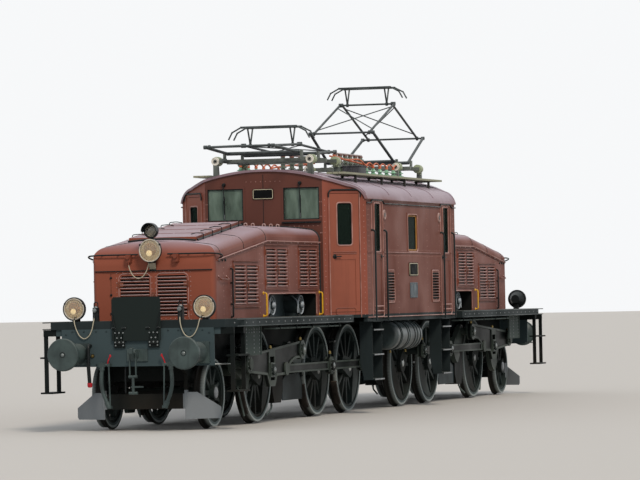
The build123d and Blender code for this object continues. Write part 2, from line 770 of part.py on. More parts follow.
def hood(end):
    s = END[end]
    made = hood_blank(s)
    cutters = [block(s * recess_outer, s * recess_inner, -hood_half_width - 1, hood_half_width + 1,
                     level(deck_height) - 1, level(recess_top))]
    panels = gutters(s) + [hatch(s)]
    for side, _ in SIDES:
        for row in side_louvres:
            panel, slots = louvre_panel(s, side, *row)
            panels.append(panel)
            cutters += slots
    return made.fuse(*panels).cut(*(cutters + grille_slots(s)))


def traction_motors(end):
    """The motors as one plain block across the truck, their blowers standing in the hood's side recesses."""
    s = END[end]
    depth = hood_half_width - recess_depth
    made = [block(s * (recess_outer - 2), s * (recess_inner + 2), -depth, depth, level(deck_height), level(recess_top) - 2)]
    for side, _ in SIDES:
        for u in blower_places:
            z = level(blower_height)
            made.append(along_y(blower_radius, side * (depth - 5), side * (blower_face - 40), s * u, z))
            made.append(along_y(blower_radius - 18, side * (blower_face - 45), side * (blower_face - 22), s * u, z))
            made.append(along_y(62, side * (blower_face - 25), side * blower_face, s * u, z))
            made.append(block(s * (u - 110), s * (u + 110), side * (depth - 5), side * (blower_face - 60),
                              level(deck_height), level(deck_height) + 60))
    return fuse(made)


def lamp_housing(s, x, y, z, radius, depth):
    """A round lamp that looks outwards: bowl, rim and the recess of its glass."""
    bowl = Pos(x - s * depth / 2, y, z) * Rot(0, s * 90, 0) * Cone(radius * 0.45, radius * 0.94, depth)
    rim = along_x(radius, x - s * 26, x + s * 14, y, z)
    return bowl.fuse(rim).cut(along_x(radius - 16, x - s * 6, x + s * 20, y, z))


def lamp_socket(s, x, y, z, height):
    """The socket that a lamp's cable plugs into, on its small post."""
    box = block(x - 38, x + 38, y - 36, y + 36, z - height, z)
    return box.fuse(along_x(27, x, x + s * 64, y, z - 40))


def deck_lamp(s, side):
    """A lamp at the front corner of the deck, its socket, and the cable that hangs between them over the beam."""
    y, z, x = side * 950, level(1675), s * (beam_face - 90)
    foot = block(x - s * 120, x - s * 40, y - 45, y + 45, level(deck_height), z - 90)
    lamp = lamp_housing(s, x, y, z, 165, 165).fuse(foot)
    socket = lamp_socket(s, s * (beam_face - 62), side * 620, level(1690), 190)
    out, near = s * (beam_face + 26), s * (beam_face - 40)
    route = [(x - s * 60, 935, 1560), (near, 930, 1558), (out, 915, 1500), (out, 890, 1400), (out, 840, 1300),
             (out, 770, 1252), (out, 700, 1290), (out, 652, 1380), (out, 630, 1490), (near + s * 14, 622, 1600)]
    cable = tube([(u, side * v, level(h)) for u, v, h in route], cable_radius)
    return fuse([lamp, cable, socket])


def brow_lamp(s):
    """The upper lamp on its bracket, the small hooded one above it, and the cable that hangs to its socket."""
    x, z = s * (hood_nose + 120), level(2470)
    top = lamp_housing(s, x, 0, z, 165, 170)
    low = brow_height - 35
    shelf = [(hood_nose - 60, 2330), (hood_nose + 100, 2330), (hood_nose + 100, 2300), (hood_nose + 2, low), (hood_nose - 60, low)]
    shelf = profile_xz([(s * u, level(h)) for u, h in shelf], -45, 45)
    x2, z2 = s * (hood_nose + 70), level(2745)
    small = lamp_housing(s, x2, 0, z2, 105, 120)
    shade = along_x(113, x2 - s * 10, x2 + s * 110, 0, z2).cut(along_x(103, x2 - s * 20, x2 + s * 130, 0, z2))
    shade = shade.cut(block(x2 - s * 20, x2 + s * 130, -120, 120, z2 - 120, z2 - 10))
    post = block(x2 - s * 70, x2 - s * 40, -22, 22, level(2500), z2 - 40)
    socket_x = s * (hood_nose + 30)
    sockets = [lamp_socket(s, socket_x, y, level(2420), 110) for y in (350, -350)]
    necks = [bar((socket_x, y, level(2360)), (s * (hood_nose - 90), y, level(2330)), 24) for y in (350, -350)]
    out = s * (hood_nose + 74)
    route = [(out - s * 30, 350, 2382), (out, 346, 2330), (out, 330, 2230), (out, 285, 2130), (out, 205, 2075),
             (out, 125, 2110), (out, 70, 2190), (out, 40, 2290)]
    cable = tube([(u, y, level(h)) for u, y, h in route], cable_radius)
    return fuse([top, shelf, small, shade, post, cable] + sockets + necks)


def lamps(end):
    """Two lamps on the deck and the two at the brow of the hood."""
    s = END[end]
    return [deck_lamp(s, side) for side, _ in SIDES] + [brow_lamp(s).cut(hood_blank(s))]


# Cab body

def octagon(grow=0.0):
    """Plan of the cab body, straight sides with a chamfered corner at each end."""
    quarter = [(body_end + grow, body_end_half_width + grow * 0.4), (body_straight + grow * 0.4, body_half_width + grow)]
    left = [(-x, y) for x, y in reversed(quarter)]
    return quarter + left + [(-x, -y) for x, y in quarter] + [(x, -y) for x, y in reversed(quarter)]


def roof_section(drop, low):
    """Area under the roof, drop below its outer surface, down to a low level."""
    wide, shoulder = body_half_width + roof_overhang - drop, roof_shoulder_y - drop * 0.5
    eave, top, crown = level(eave_height - drop * 0.2), level(roof_shoulder_height - drop), level(roof_crown_height - drop)
    with BuildSketch() as sketch:
        with BuildLine():
            Line((-wide, level(low)), (wide, level(low)))
            Line((wide, level(low)), (wide, eave))
            ThreePointArc((wide, eave), (wide - 62, eave + 118), (shoulder, top))
            ThreePointArc((shoulder, top), (0, crown), (-shoulder, top))
            ThreePointArc((-shoulder, top), (-wide + 62, eave + 118), (-wide, eave))
            Line((-wide, eave), (-wide, level(low)))
        make_face()
    return sketch.sketch


def under_roof(drop, low, half_length):
    return extrude(plane_yz(-half_length) * roof_section(drop, low), 2 * half_length)


front_windows = (320, 890, 2960, 3450)  # inner edge, outer edge, bottom, top
side_window = (580, 2480, 3050)  # width, bottom, top
door_window = (330, 2460, 3200)
end_door_window = (250, 2560, 3200)
vents = (side_door_at - 710, 195, 1700, 2150, 10)  # place, half width, bottom, top, rows


def corner_frame(end, side):
    """Plane of a chamfered corner: X along it towards the end wall, Z outwards, origin midway at the floor."""
    s = END[end]
    a = Vector(s * body_straight, side * body_half_width, 0)
    b = Vector(s * body_end, side * body_end_half_width, 0)
    along = (b - a).normalized()
    outward = Vector(along.Y, -along.X, 0)
    if outward.dot(Vector(s, side, 0)) < 0:
        outward = outward * -1
    mid = (a + b) / 2
    return Plane(origin=(mid.X, mid.Y, 0), x_dir=along, z_dir=outward)


def corner_box(end, side, half, inwards, outwards, z0, z1):
    """A block at a chamfered corner: half width along it, from inwards of its face to outwards of it."""
    plane = corner_frame(end, side)
    up = 1 if plane.y_dir.Z > 0 else -1
    low, high = sorted((up * z0, up * z1))
    return plane * (Pos(0, (low + high) / 2, (outwards - inwards) / 2) * Box(2 * half, high - low, outwards + inwards))


def side_door_hinge(end, side):
    """Hinge of a side door: its place, the way to the leaf and the way inwards."""
    s = END[end]
    x = s * (side_door_at - side_door_width / 2 - door_gap / 2)
    y = side * (body_half_width - wall - hinge_inset)
    return x, y, Vector(s, 0, 0), Vector(0, -side, 0)


def end_door_hinge(end, side):
    """Hinge of a corner door, at its edge beside the side wall."""
    plane = corner_frame(end, side)
    edge = end_door_width / 2 + door_gap / 2
    at = plane.origin - plane.x_dir * edge - plane.z_dir * (wall + hinge_inset)
    return at.X, at.Y, plane.x_dir, plane.z_dir * -1


def hinge_knuckles(hinge, part):
    """Knuckles and their straps: part -1 on the jamb, +1 on the leaf, the two sets one above the other."""
    x, y, along, inward = hinge
    made = []
    for height in hinge_heights:
        low = level(height) if part > 0 else level(height) + hinge_length + pivot_gap
        plane = Plane(origin=(x, y, low), x_dir=(along.X, along.Y, 0), z_dir=(0, 0, 1))
        towards = 1 if plane.y_dir.dot(inward) > 0 else -1
        reach = hinge_inset + 2
        seat = (Align.CENTER, Align.CENTER, Align.MIN)
        strap = plane * (Pos(part * (door_gap / 2 + 13), -towards * reach / 2, 0) * Box(26, reach, hinge_length, align=seat))
        link = plane * (Pos(part * (door_gap / 4 + 1), 0, 0) * Box(door_gap / 2 + 2, 8, hinge_length, align=seat))
        made += [along_z(hinge_pin_radius, low, low + hinge_length, x, y), strap, link]
    return made


def below_shell():
    """The space that the walls may fill: up to the edge of the roof outside, and up to its underside inside."""
    x, y = body_end + 100, body_half_width + 20
    low, edge = level(deck_height - 50), level(eave_height - eave_lip)
    return under_roof(roof_thickness, deck_height - 50, x).fuse(block(-x, x, -y, y, low, edge))


def wall_ring():
    low, high = level(deck_height), level(roof_crown_height)
    ring = profile_xy(octagon(), low, high).cut(profile_xy(octagon(-wall), low - 1, high + 1))
    return ring & below_shell()


def side_wall(ring, side):
    """Straight side panel with its window, vents, doorways, belt rail and raised window frame."""
    inner, outer, proud = (side * (body_half_width + d) for d in (-wall - 5, 20, band_lift))
    low, high = level(deck_height), level(roof_crown_height)
    panel = ring & block(-body_straight, body_straight, side * (body_half_width - wall - 1), outer, low - 1, high + 1)
    skin = side * (body_half_width - 2)
    width, z0, z1 = side_window
    half = width / 2 + frame_band
    bands = [block(-body_straight + 10, body_straight - 10, skin, proud, level(belt_height), level(belt_height) + 26),
             block(-half, half, skin, proud, level(z0 - frame_band), level(z1 + frame_band))]
    cuts = [block(-width / 2, width / 2, inner, outer, level(z0), level(z1))]
    at, half, z0, z1, rows = vents
    for s in (-1, 1):
        bands.append(block(s * at - half - 30, s * at + half + 30, skin, proud, level(z0 - 40), level(z1 + 40)))
        for row in range(rows):
            z = level(z0 + row * (z1 - z0) / (rows - 0.45))
            cuts.append(block(s * at - half, s * at + half, side * (body_half_width - louvre_depth), outer, z, z + louvre_slot))
        reach = side_door_width / 2 + door_gap
        cuts.append(block(s * side_door_at - reach, s * side_door_at + reach, inner, outer,
                          level(deck_height + door_sill), level(side_door_head)))
    panel = panel.fuse(*bands).cut(*cuts)
    for end in (1, 2):
        panel = panel.fuse(*hinge_knuckles(side_door_hinge(end, side), -1))
    return panel


def end_wall(ring, end):
    """End wall with its chamfered corners, two windows and two doorways, each with a raised frame."""
    s = END[end]
    low, high = level(deck_height), level(roof_crown_height)
    panel = ring & block(s * body_straight, s * (body_end + 5), -body_half_width - 1, body_half_width + 1, low - 1, high + 1)
    bands, cuts = [], []
    y0, y1, z0, z1 = front_windows
    for side, _ in SIDES:
        a, b = sorted((side * y0, side * y1))
        bands.append(block(s * (body_end - 2), s * (body_end + band_lift), a - 26, b + 26, level(z0 - 26), level(z1 + 26)))
        cuts.append(block(s * (body_end - wall - 5), s * (body_end + 20), a, b, level(z0), level(z1)))
        sill = level(deck_height + door_sill)
        half = end_door_width / 2
        bands.append(corner_box(end, side, half + frame_band, 2, band_lift, sill, level(end_door_head + frame_band)))
        cuts.append(corner_box(end, side, half + door_gap, wall + 40, 20, sill, level(end_door_head)))
    panel = panel.fuse(*bands).cut(*cuts) & below_shell()
    for side, _ in SIDES:
        panel = panel.fuse(*hinge_knuckles(end_door_hinge(end, side), -1))
    return panel


def bulkheads():
    y = body_half_width - wall
    half = bulkhead_thickness / 2
    return [block(s * bulkhead_at - half, s * bulkhead_at + half, -y, y, level(deck_height), level(bulkhead_height))
            for s in (-1, 1)]


def cab_roof():
    """Roof shell with its overhang and a rain strip along each eave."""
    shell = under_roof(0, eave_height - eave_lip, body_end + 100)
    shell = shell.cut(under_roof(roof_thickness, eave_height - 40, body_end + 200))
    shell = shell & profile_xy(octagon(roof_overhang), level(eave_height - 60), level(roof_crown_height + 60))
    ribs = []
    outer, inner = under_roof(9, eave_height - 60, body_end), under_roof(-7, eave_height - 60, body_end)
    for x in (-body_straight, -body_straight / 2, 0, body_straight / 2, body_straight):
        slab = block(x - 14, x + 14, -body_half_width, body_half_width, level(eave_height + 60), level(roof_crown_height + 60))
        ribs.append((inner & slab).cut(outer))
    return shell.fuse(*ribs)


def body_underframe():
    """Floor with a sill along each side, and the centre plates and king pins of the two trucks."""
    under = level(deck_height - floor_thickness)
    made = [profile_xy(octagon(-2), under, level(deck_height))]
    for side, _ in SIDES:
        y = side * (body_half_width - 10)
        made.append(block(-body_straight, body_straight, y, y - side * 60, level(deck_height - sill_depth), under))
    for s in (-1, 1):
        x = s * truck_pivot_at
        made.append(along_z(centre_plate_radius, under - centre_plate_depth, under, x, 0))
        made.append(along_z(king_pin_radius, level(frame_top) - 20, under, x, 0))
    return fuse(made)


def side_door(end, side):
    """Leaf of a side door with its window and a sunk lower panel."""
    x, half = END[end] * side_door_at, side_door_width / 2
    inner, outer = side * (body_half_width - wall), side * body_half_width
    leaf = block(x - half, x + half, inner, outer, level(deck_height + door_sill + door_gap), level(side_door_head - door_gap))
    leaf = leaf.fuse(*hinge_knuckles(side_door_hinge(end, side), 1))
    width, z0, z1 = door_window
    window = block(x - width / 2, x + width / 2, inner - side * 5, outer + side * 5, level(z0), level(z1))
    panel = block(x - half + 80, x + half - 80, outer - side * 8, outer + side * 5, level(1640), level(2340))
    return leaf.cut(window, panel)


def end_door(end, side):
    """Leaf of a corner door with its window and a sunk lower panel."""
    half = end_door_width / 2
    leaf = corner_box(end, side, half, wall, 0, level(deck_height + door_sill + door_gap), level(end_door_head - door_gap))
    leaf = leaf.fuse(*hinge_knuckles(end_door_hinge(end, side), 1))
    width, z0, z1 = end_door_window
    window = corner_box(end, side, width / 2, wall + 20, 20, level(z0), level(z1))
    panel = corner_box(end, side, half - 70, 8, 20, level(1640), level(2340))
    return leaf.cut(window, panel)


def window_glass():
    """Panes in the end walls and side walls, each held in its opening."""
    half, lap = 4, 0.3
    panes = []
    y0, y1, z0, z1 = front_windows
    for s in (-1, 1):
        x = s * (body_end - wall / 2)
        for side, _ in SIDES:
            a, b = sorted((side * y0, side * y1))
            panes.append(block(x - half, x + half, a + lap, b - lap, level(z0) + lap, level(z1) - lap))
    width, z0, z1 = side_window
    for side, _ in SIDES:
        y = side * (body_half_width - wall / 2)
        panes.append(block(-width / 2 + lap, width / 2 - lap, y - half, y + half, level(z0) + lap, level(z1) - lap))
    return panes


def ladder(x, side):
    """Ladder under a side door: two cheeks that taper towards their foot, with three treads between them."""
    low, top = level(490), level(deck_height - sill_depth)
    outline = [(side * 1240, top), (side * 1440, top), (side * 1440, low), (side * 1300, low), (side * 1240, level(760))]
    half = 275
    made = [profile_yz(outline, x + d - 5, x + d + 5) for d in (5 - half, half - 5)]
    made += [block(x - half, x + half, side * 1290, side * (body_half_width - 5), level(h), level(h) + 22)
             for h in (490, 870, 1250)]
    made.append(block(x - half, x + half, side * 1240, side * (body_half_width - 12), top - 8, top))
    return fuse(made)


def handrail(x, side):
    """A rail beside a side door, its top end bent over into the wall."""
    out, face = side * (body_half_width + 60), side * body_half_width
    low, high, bend = level(deck_height - 100), level(2790), 46
    rail = [along_z(14, low, high - bend, x, out), along_y(14, face, out - side * bend, x, high)]
    plane = Plane(origin=(x, out - side * bend, high - bend), x_dir=(0, side, 0), z_dir=(side, 0, 0))
    corner = plane * CenterArc((0, 0), bend, 0, 90)
    rail.append(sweep(Plane(origin=(x, out, high - bend)) * Circle(14), path=corner))
    return fuse(rail + [along_y(9, side * (body_half_width - 10), out, x, low + 30)])


def steps_and_rails():
    made = []
    for side, _ in SIDES:
        for s in (-1, 1):
            made.append(ladder(s * side_door_at, side))
            made += [handrail(s * side_door_at + d, side) for d in (-330, 330)]
    return made


def air_reservoirs():
    made = []
    for side, _ in SIDES:
        y, z = side * 1150, level(1150)
        tank = along_x(225, -tank_length / 2 + tank_shift, tank_length / 2 + tank_shift, y, z)
        tank = fillet(tank.edges().filter_by(GeomType.CIRCLE), 60)
        bands = [along_x(236, x - 35, x + 35, y, z) for x in (tank_shift - 460, tank_shift, tank_shift + 460)]
        under = level(deck_height - floor_thickness)
        hangers = [block(x - 30, x + 30, y - 60, y + 60, z + 200, under) for x in (tank_shift - 460, tank_shift + 460)]
        made.append(fuse([tank] + bands + hangers))
    return made


def transformer():
    reach = bulkhead_at - 230
    return block(-reach, reach, -700, 700, level(deck_height), level(bulkhead_height))


# Roof

def roof_at(y):
    """Height of the roof's outer surface at a distance from the centreline."""
    half, rise = roof_shoulder_y, roof_crown_height - roof_shoulder_height
    radius = (half * half + rise * rise) / (2 * rise)
    return level(roof_crown_height) - radius + math.sqrt(radius * radius - y * y)


def above_roof(pieces):
    """The pieces as one, cut off where they meet the roof."""
    return fuse(pieces).cut(under_roof(0, 3000, body_end + 100))


def roof_walkways():
    """Three planks along each side of the roof, on brackets."""
    made = []
    for side, _ in SIDES:
        z = roof_at(930) + 40
        reach = body_end - 280
        places = [k * (reach - 200) / 2 for k in (-1.6, -0.5, 0.5, 1.6)]
        pieces = [block(-reach, reach, side * y, side * (y + 86), z, z + 30) for y in (930, 1026, 1122)]
        pieces += [block(x - 25, x + 25, side * 940, side * 1200, z - 26, z + 4) for x in places]
        pieces += [block(x - 25, x + 25, side * y, side * (y + 30), roof_at(1200) - 40, z)
                   for x in places for y in (950, 1160)]
        made.append(above_roof(pieces))
    return made


def insulator_z(x, y, z0, z1, radius):
    sheds = [along_z(radius, z0 + (z1 - z0) * k - 8, z0 + (z1 - z0) * k + 8, x, y) for k in (0.22, 0.44, 0.66, 0.88)]
    return [along_z(radius * 0.62, z0, z1, x, y)] + sheds


def insulator_x(x0, x1, y, z, radius):
    sheds = [along_x(radius, x0 + (x1 - x0) * k - 11, x0 + (x1 - x0) * k + 11, y, z) for k in (0.2, 0.4, 0.6, 0.8)]
    return [along_x(radius * 0.66, x0, x1, y, z)] + sheds


def pantograph_base(end):
    """Frame on four ribbed insulators, with a bracket and a pin for each foot of the lower frames."""
    s = END[end]
    z = level(base_frame_height)
    made = []
    a, b = pantograph_at - 800, pantograph_at + 280
    for u in (a, pantograph_at - 250, b):
        made.append(block(s * (u - 24), s * (u + 24), -800, 800, z - 26, z + 26))
    for side, _ in SIDES:
        made.append(block(s * (a - 20), s * (pantograph_at + pivot_spread + 70),
                          side * base_rail_y - 26, side * base_rail_y + 26, z - 26, z + 26))
        y = side * 752
        for inner, outer in ((b + 20, b + 170), (a - 20, a - 170)):
            made += insulator_x(s * inner, s * outer, y, z, 72)
            post = [(outer, base_frame_height + 45), (outer + (35 if outer > inner else -35), base_frame_height + 45),
                    (outer + (40 if outer > inner else -40), 3600), (outer - (60 if outer > inner else -60), 3600)]
            made.append(profile_xz([(s * u, level(h)) for u, h in post], y - 38, y + 38))
        for d in (-1, 1):
            x = s * pantograph_at + d * pivot_spread
            y0, y1 = side * (pantograph_half_width + 40), side * (pantograph_half_width + 70)
            made.append(block(x - 36, x + 36, y0, y1, z, level(pivot_height) + 36))
            made.append(block(x - 70, x + 70, y0, side * (base_rail_y + 20), z, z + 40))
            made.append(along_y(16, side * (pantograph_half_width - 45), y1, x, level(pivot_height)))
    return above_roof(made)


def roof_conductors():
    """A row of insulators along each side of the roof that carries the conductors between the pantographs."""
    made = []
    for side, count in ((NEAR, 6), (FAR, 4)):
        y = side * 430
        top = level(4010)
        pieces = []
        span = 1450
        for n in range(count):
            x = -span / 2 + span * n / (count - 1)
            pieces += insulator_z(x, y, roof_at(y) - 10, top, 58)
            pieces.append(along_z(40, top, top + 22, x, y))
        pieces.append(along_x(14, -span / 2 - 60, span / 2 + 60, y, top + 32))
        made.append(above_roof(pieces))
    return made


# Pantographs, each of two lower frames, two upper frames and a collector head

def pantograph_points(end, d):
    """Base pivot, knee and head pivot of one half at rest, d -1 or +1 along X."""
    low = math.radians(rest_angle[end])
    high = low * fold_ratio
    z = level(pivot_height)
    base = (END[end] * pantograph_at + d * pivot_spread, z)
    knee = (base[0] + d * lower_arm * math.cos(low), z + lower_arm * math.sin(low))
    head = (knee[0] - d * upper_arm * math.cos(high), knee[1] + upper_arm * math.sin(high))
    return base, knee, head


def lower_frame(end, d):
    base, knee, _ = pantograph_points(end, d)
    w = pantograph_half_width
    made = [along_y(28, -w - 20, w + 20, *base), along_y(16, -w, w, *knee)]
    for side, _ in SIDES:
        made.append(bar((base[0], side * w, base[1]), (knee[0], side * (w - 30), knee[1]), tube_radius + 4))
        made.append(along_y(30, side * (w - 55), side * (w - 5), *knee))
    made = fuse(made)
    for side, _ in SIDES:
        made = made.cut(along_y(16 + bearing_clearance, side * (w - 60), side * (w + 60), *base))
    return made


def upper_frame(end, d):
    """Half a carried frame: the -X half holds the head shaft, the +X half has eyes round it."""
    _, knee, head = pantograph_points(end, d)
    w = pantograph_half_width - (90 if d < 0 else 130)
    made = []
    for side, _ in SIDES:
        made.append(bar((knee[0], side * w, knee[1]), (head[0], side * w, head[1]), tube_radius))
        made.append(along_y(34, side * (w - 16), side * (w + 16), *knee))
        made.append(along_y(34, side * (w - 16), side * (w + 16), *head))
    run = Vector(head[0] - knee[0], 0, head[1] - knee[1])
    near_knee = (knee[0] + run.X * 0.12, knee[1] + run.Z * 0.12)
    near_head = (knee[0] + run.X * 0.9, knee[1] + run.Z * 0.9)
    for side, _ in SIDES:
        made.append(bar((near_knee[0], -side * w, near_knee[1]), (near_head[0], side * w, near_head[1]), 9))
    made = fuse(made).cut(along_y(16 + bearing_clearance, -w - 60, w + 60, *knee))
    if d < 0:
        return made.fuse(along_y(head_shaft_radius, -w - 10, w + 10, *head))
    return made.cut(along_y(head_shaft_radius + apex_clearance, -w - 60, w + 60, *head))


def collector_head(end):
    """The bow on the head shaft: two sleeves, a frame, two contact strips and drooping horns."""
    _, _, (x, z) = pantograph_points(end, -1)
    top = z + bow_rise
    made = []
    for side, _ in SIDES:
        y = side * sleeve_at
        made.append(along_y(30, y - 18, y + 18, x, z))
        made.append(along_x(13, x - strip_spread, x + strip_spread, y, top - 25))
        for d in (-1, 1):
            strip = x + d * strip_spread
            made.append(bar((x, y, z), (strip, y, top - 25), 13))
            root = (strip, side * (bow_half_width - 4), top - 15)
            bend = (strip, side * (horn_reach - 60), top - horn_drop * 0.45)
            made.append(bar(root, bend, 12))
            made.append(Pos(*bend) * Sphere(14))
            made.append(bar(bend, (strip, side * horn_reach, top - horn_drop), 12))
    for d in (-1, 1):
        strip = x + d * strip_spread
        made.append(block(strip - 27, strip + 27, -bow_half_width, bow_half_width, top - 32, top))
    reach = sleeve_at + 40
    return fuse(made).cut(along_y(head_shaft_radius + bearing_clearance, -reach, reach, x, z))


# Every node, written one file each

for end in (1, 2):
    save(driving_wheelset(end, axle_outer), f"wheelset_outer_{end}")
    save(driving_wheelset(end, axle_middle), f"wheelset_middle_{end}")
    save(driving_wheelset(end, axle_inner), f"wheelset_inner_{end}")
    save(carrying_wheelset(end), f"wheelset_carrying_{end}")
    save(crank_shaft(end, jackshaft_at, jackshaft_height, 330), f"jackshaft_{end}")
    save(crank_shaft(end, blind_shaft_at, blind_shaft_height, 370), f"blind_shaft_{end}")
    save(truck_frame(end), f"truck_frame_{end}")
    save(buffers(end), f"buffers_{end}")
    save(running_plate(end), f"running_plate_{end}")
    save(hood(end), f"hood_{end}")
    save(lamps(end), f"lamps_{end}")
    save(traction_motors(end), f"traction_motors_{end}")
    for side, word in SIDES:
        save(drive_rods(end, side), f"drive_rods_{word}_{end}")
        save(side_door(end, side), f"side_door_{word}_{end}")
        save(end_door(end, side), f"end_door_{word}_{end}")
    for d, word in ((-1, "a"), (1, "b")):
        save(lower_frame(end, d), f"pantograph_lower_{word}_{end}")
        save(upper_frame(end, d), f"pantograph_upper_{word}_{end}")
    save(collector_head(end), f"pantograph_head_{end}")

walls = wall_ring()
for side, word in SIDES:
    save(side_wall(walls, side), f"side_wall_{word}")
for end in (1, 2):
    save(end_wall(walls, end), f"end_wall_{end}")
save(bulkheads(), "bulkheads")
save(cab_roof(), "cab_roof")
save(body_underframe(), "body_underframe")
save(window_glass(), "window_glass")
save(steps_and_rails(), "steps_and_rails")
save(air_reservoirs(), "air_reservoirs")
save(transformer(), "transformer")
save(roof_walkways(), "roof_walkways")
save([pantograph_base(1), pantograph_base(2)], "pantograph_bases")
save(roof_conductors(), "roof_conductors")
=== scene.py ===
import math

import bmesh
import bpy
from mathutils import Matrix, Vector


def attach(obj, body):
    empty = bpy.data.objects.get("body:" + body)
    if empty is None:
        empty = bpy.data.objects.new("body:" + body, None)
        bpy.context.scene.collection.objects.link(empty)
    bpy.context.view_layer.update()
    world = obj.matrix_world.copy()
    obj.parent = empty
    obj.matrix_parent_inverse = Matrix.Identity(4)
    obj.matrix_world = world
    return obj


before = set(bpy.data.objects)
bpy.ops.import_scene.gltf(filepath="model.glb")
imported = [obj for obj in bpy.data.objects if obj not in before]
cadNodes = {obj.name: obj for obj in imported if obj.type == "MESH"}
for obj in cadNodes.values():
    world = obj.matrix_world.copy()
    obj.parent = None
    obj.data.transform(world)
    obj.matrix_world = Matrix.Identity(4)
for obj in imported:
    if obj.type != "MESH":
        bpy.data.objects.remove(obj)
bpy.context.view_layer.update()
railTop = 0.028  # the flange tips stand on the floor, the rail head lies this far above
trucks = ((1, -1), (2, 1))  # number of the truck and its way along X
flanks = ((-1, "left"), (1, "right"))


def at(way, u, y, h):  # a point from its distance outwards, its side and its height above the rail
    return Vector((way * u, y, h + railTop))


def upBy(distance):
    return Vector((0, 0, distance))


def onFlank(way, side):  # places on one side of one end
    return lambda u, y, h: at(way, u, side * y, h)


def around(middle, radius, angle, out=0.0):  # a point on an upright circle, seen from the side
    return middle + Vector((radius * math.cos(angle), out, radius * math.sin(angle)))


# Materials

def linear(hexColour):
    channels = [int(hexColour[k:k + 2], 16) / 255 for k in (1, 3, 5)]
    return tuple(c / 12.92 if c <= 0.04045 else ((c + 0.055) / 1.055) ** 2.4 for c in channels) + (1.0,)


def addNode(tree, kind, links=(), inputs=None, **settings):
    node = tree.nodes.new("ShaderNode" + kind)
    for key, value in settings.items():
        setattr(node, key, value)
    for key, value in (inputs or {}).items():
        node.inputs[key].default_value = value
    for source, target in links:
        tree.links.new(source, node.inputs[target])
    return node


def startMaterial(name, **shaderInputs):
    material = bpy.data.materials.new(name)
    material.use_nodes = True
    tree = material.node_tree
    shader = tree.nodes["Principled BSDF"]
    for key, value in shaderInputs.items():
        shader.inputs[key.replace("_", " ")].default_value = value
    return material, tree, shader


# 1 inside a box of distance outwards, distance across and height, at both ends
def boxMask(tree, place, low, high):
    low, high = Vector(low) + upBy(railTop), Vector(high) + upBy(railTop)
    mirrored = addNode(tree, "VectorMath", [(place, 0)], operation="ABSOLUTE")
    shifted = addNode(
        tree, "VectorMath", [(mirrored.outputs[0], 0)], {1: (low + high) / 2}, operation="SUBTRACT")
    away = addNode(tree, "VectorMath", [(shifted.outputs[0], 0)], operation="ABSOLUTE")
    beyond = addNode(
        tree, "VectorMath", [(away.outputs[0], 0)], {1: (high - low) / 2}, operation="SUBTRACT")
    parts = addNode(tree, "SeparateXYZ", [(beyond.outputs[0], 0)])
    most = addNode(tree, "Math", [(parts.outputs[0], 0), (parts.outputs[1], 1)], operation="MAXIMUM")
    most = addNode(tree, "Math", [(most.outputs[0], 0), (parts.outputs[2], 1)], operation="MAXIMUM")
    return addNode(tree, "Math", [(most.outputs[0], 0)], {1: 0.0}, operation="LESS_THAN").outputs[0]


# Boxes (outwards, across, height) where another colour shows: painted shade behind the sheet, inside the
# hood, the cab and the cab's vents, and the colours of small parts
unlit = "#171918"
hoodZones = [
    ((3.3, 0, 1.3), (6.3, 0.893, 2.56), unlit), ((6.3, 0, 1.3), (8.3, 0.893, 2.3), unlit),
    ((8.2, 0, 1.3), (8.362, 0.52, 2.15), unlit)]
cabZones = [
    ((1.155, 1.40, 1.70), (1.535, 1.49, 2.15), unlit), ((0, 0, 1.3), (2.62, 1.441, 3.9), unlit),
    ((2.62, 0, 1.3), (3.146, 0.9, 3.9), unlit), ((2.6, 0, 1.3), (2.9, 1.15, 3.9), unlit)]
# the end's face between the corner walls, darker than the corner walls
endZones = [((3.14, 0, 1.3), (3.3, 0.936, 3.9), "#5A352C")] + cabZones
frameZones = [
    ((8.6, 0.56, 0.05), (9.12, 1.2, 0.53), "#73797D"), ((9.0, 0, 0.8), (9.135, 1.2, 1.45), "#3B484B"),
    ((9.13, 0, 1.22), (9.17, 0.37, 1.86), "#1F2625")]
deckZones = [((7.2, 1.19, 0.9), (8.1, 1.24, 1.388), "#38423F")]
lampZones = [
    ((9.118, 0.5, 1.1), (9.2, 1.0, 1.7), "#A8A28E"), ((8.4, 0, 2.0), (8.6, 0.36, 2.296), "#A8A28E"),
    ((8.33, 0.28, 2.27), (8.55, 0.52, 2.55), "#743F30"), ((7.9, 0, 2.5), (8.0, 0.53, 2.8), "#85575A")]
baseZones = [
    ((2.995, 0.67, 3.79), (3.152, 0.83, 3.97), "#9BA58A"), ((1.728, 0.67, 3.79), (1.885, 0.83, 3.97),
    "#9BA58A")]
# painted shade: the webs between the rods' ribs darker
rodZones = [((1.0, 1.090, 0.2), (8.0, 1.130, 1.6), "#111514")]  # the webs between the rods' ribs
conductorZones = [((0, 0, 4.006), (0.9, 0.5, 4.1), "#6B4436")]


# Painted or bare metal that stands outdoors: patches, rain streaks, dust and painted sheen on faces that
# look up, grime at the foot
weathering = {
    "base": "#74473D", "patch": "#653B32", "streak": "#4E2F28", "dust": "#9C8C92", "grime": "#3A2C27",
    "patchSize": 0.9, "streakWidth": 0.07, "streakAmount": 0.35, "dustAmount": 0.7, "dustFrom": 0.35,
    "grimeFoot": 0.0, "grimeTop": 0.01, "grimeAmount": 0.0, "roughness": 0.5, "metallic": 0.0,
    "specular": 0.15, "grain": 0.006, "bump": 0.12, "wheelAt": None, "endLitTone": None, "zones": (),}


def tones(base, patch, streak, dust, **own):
    return {"base": base, "patch": patch, "streak": streak, "dust": dust, **own}


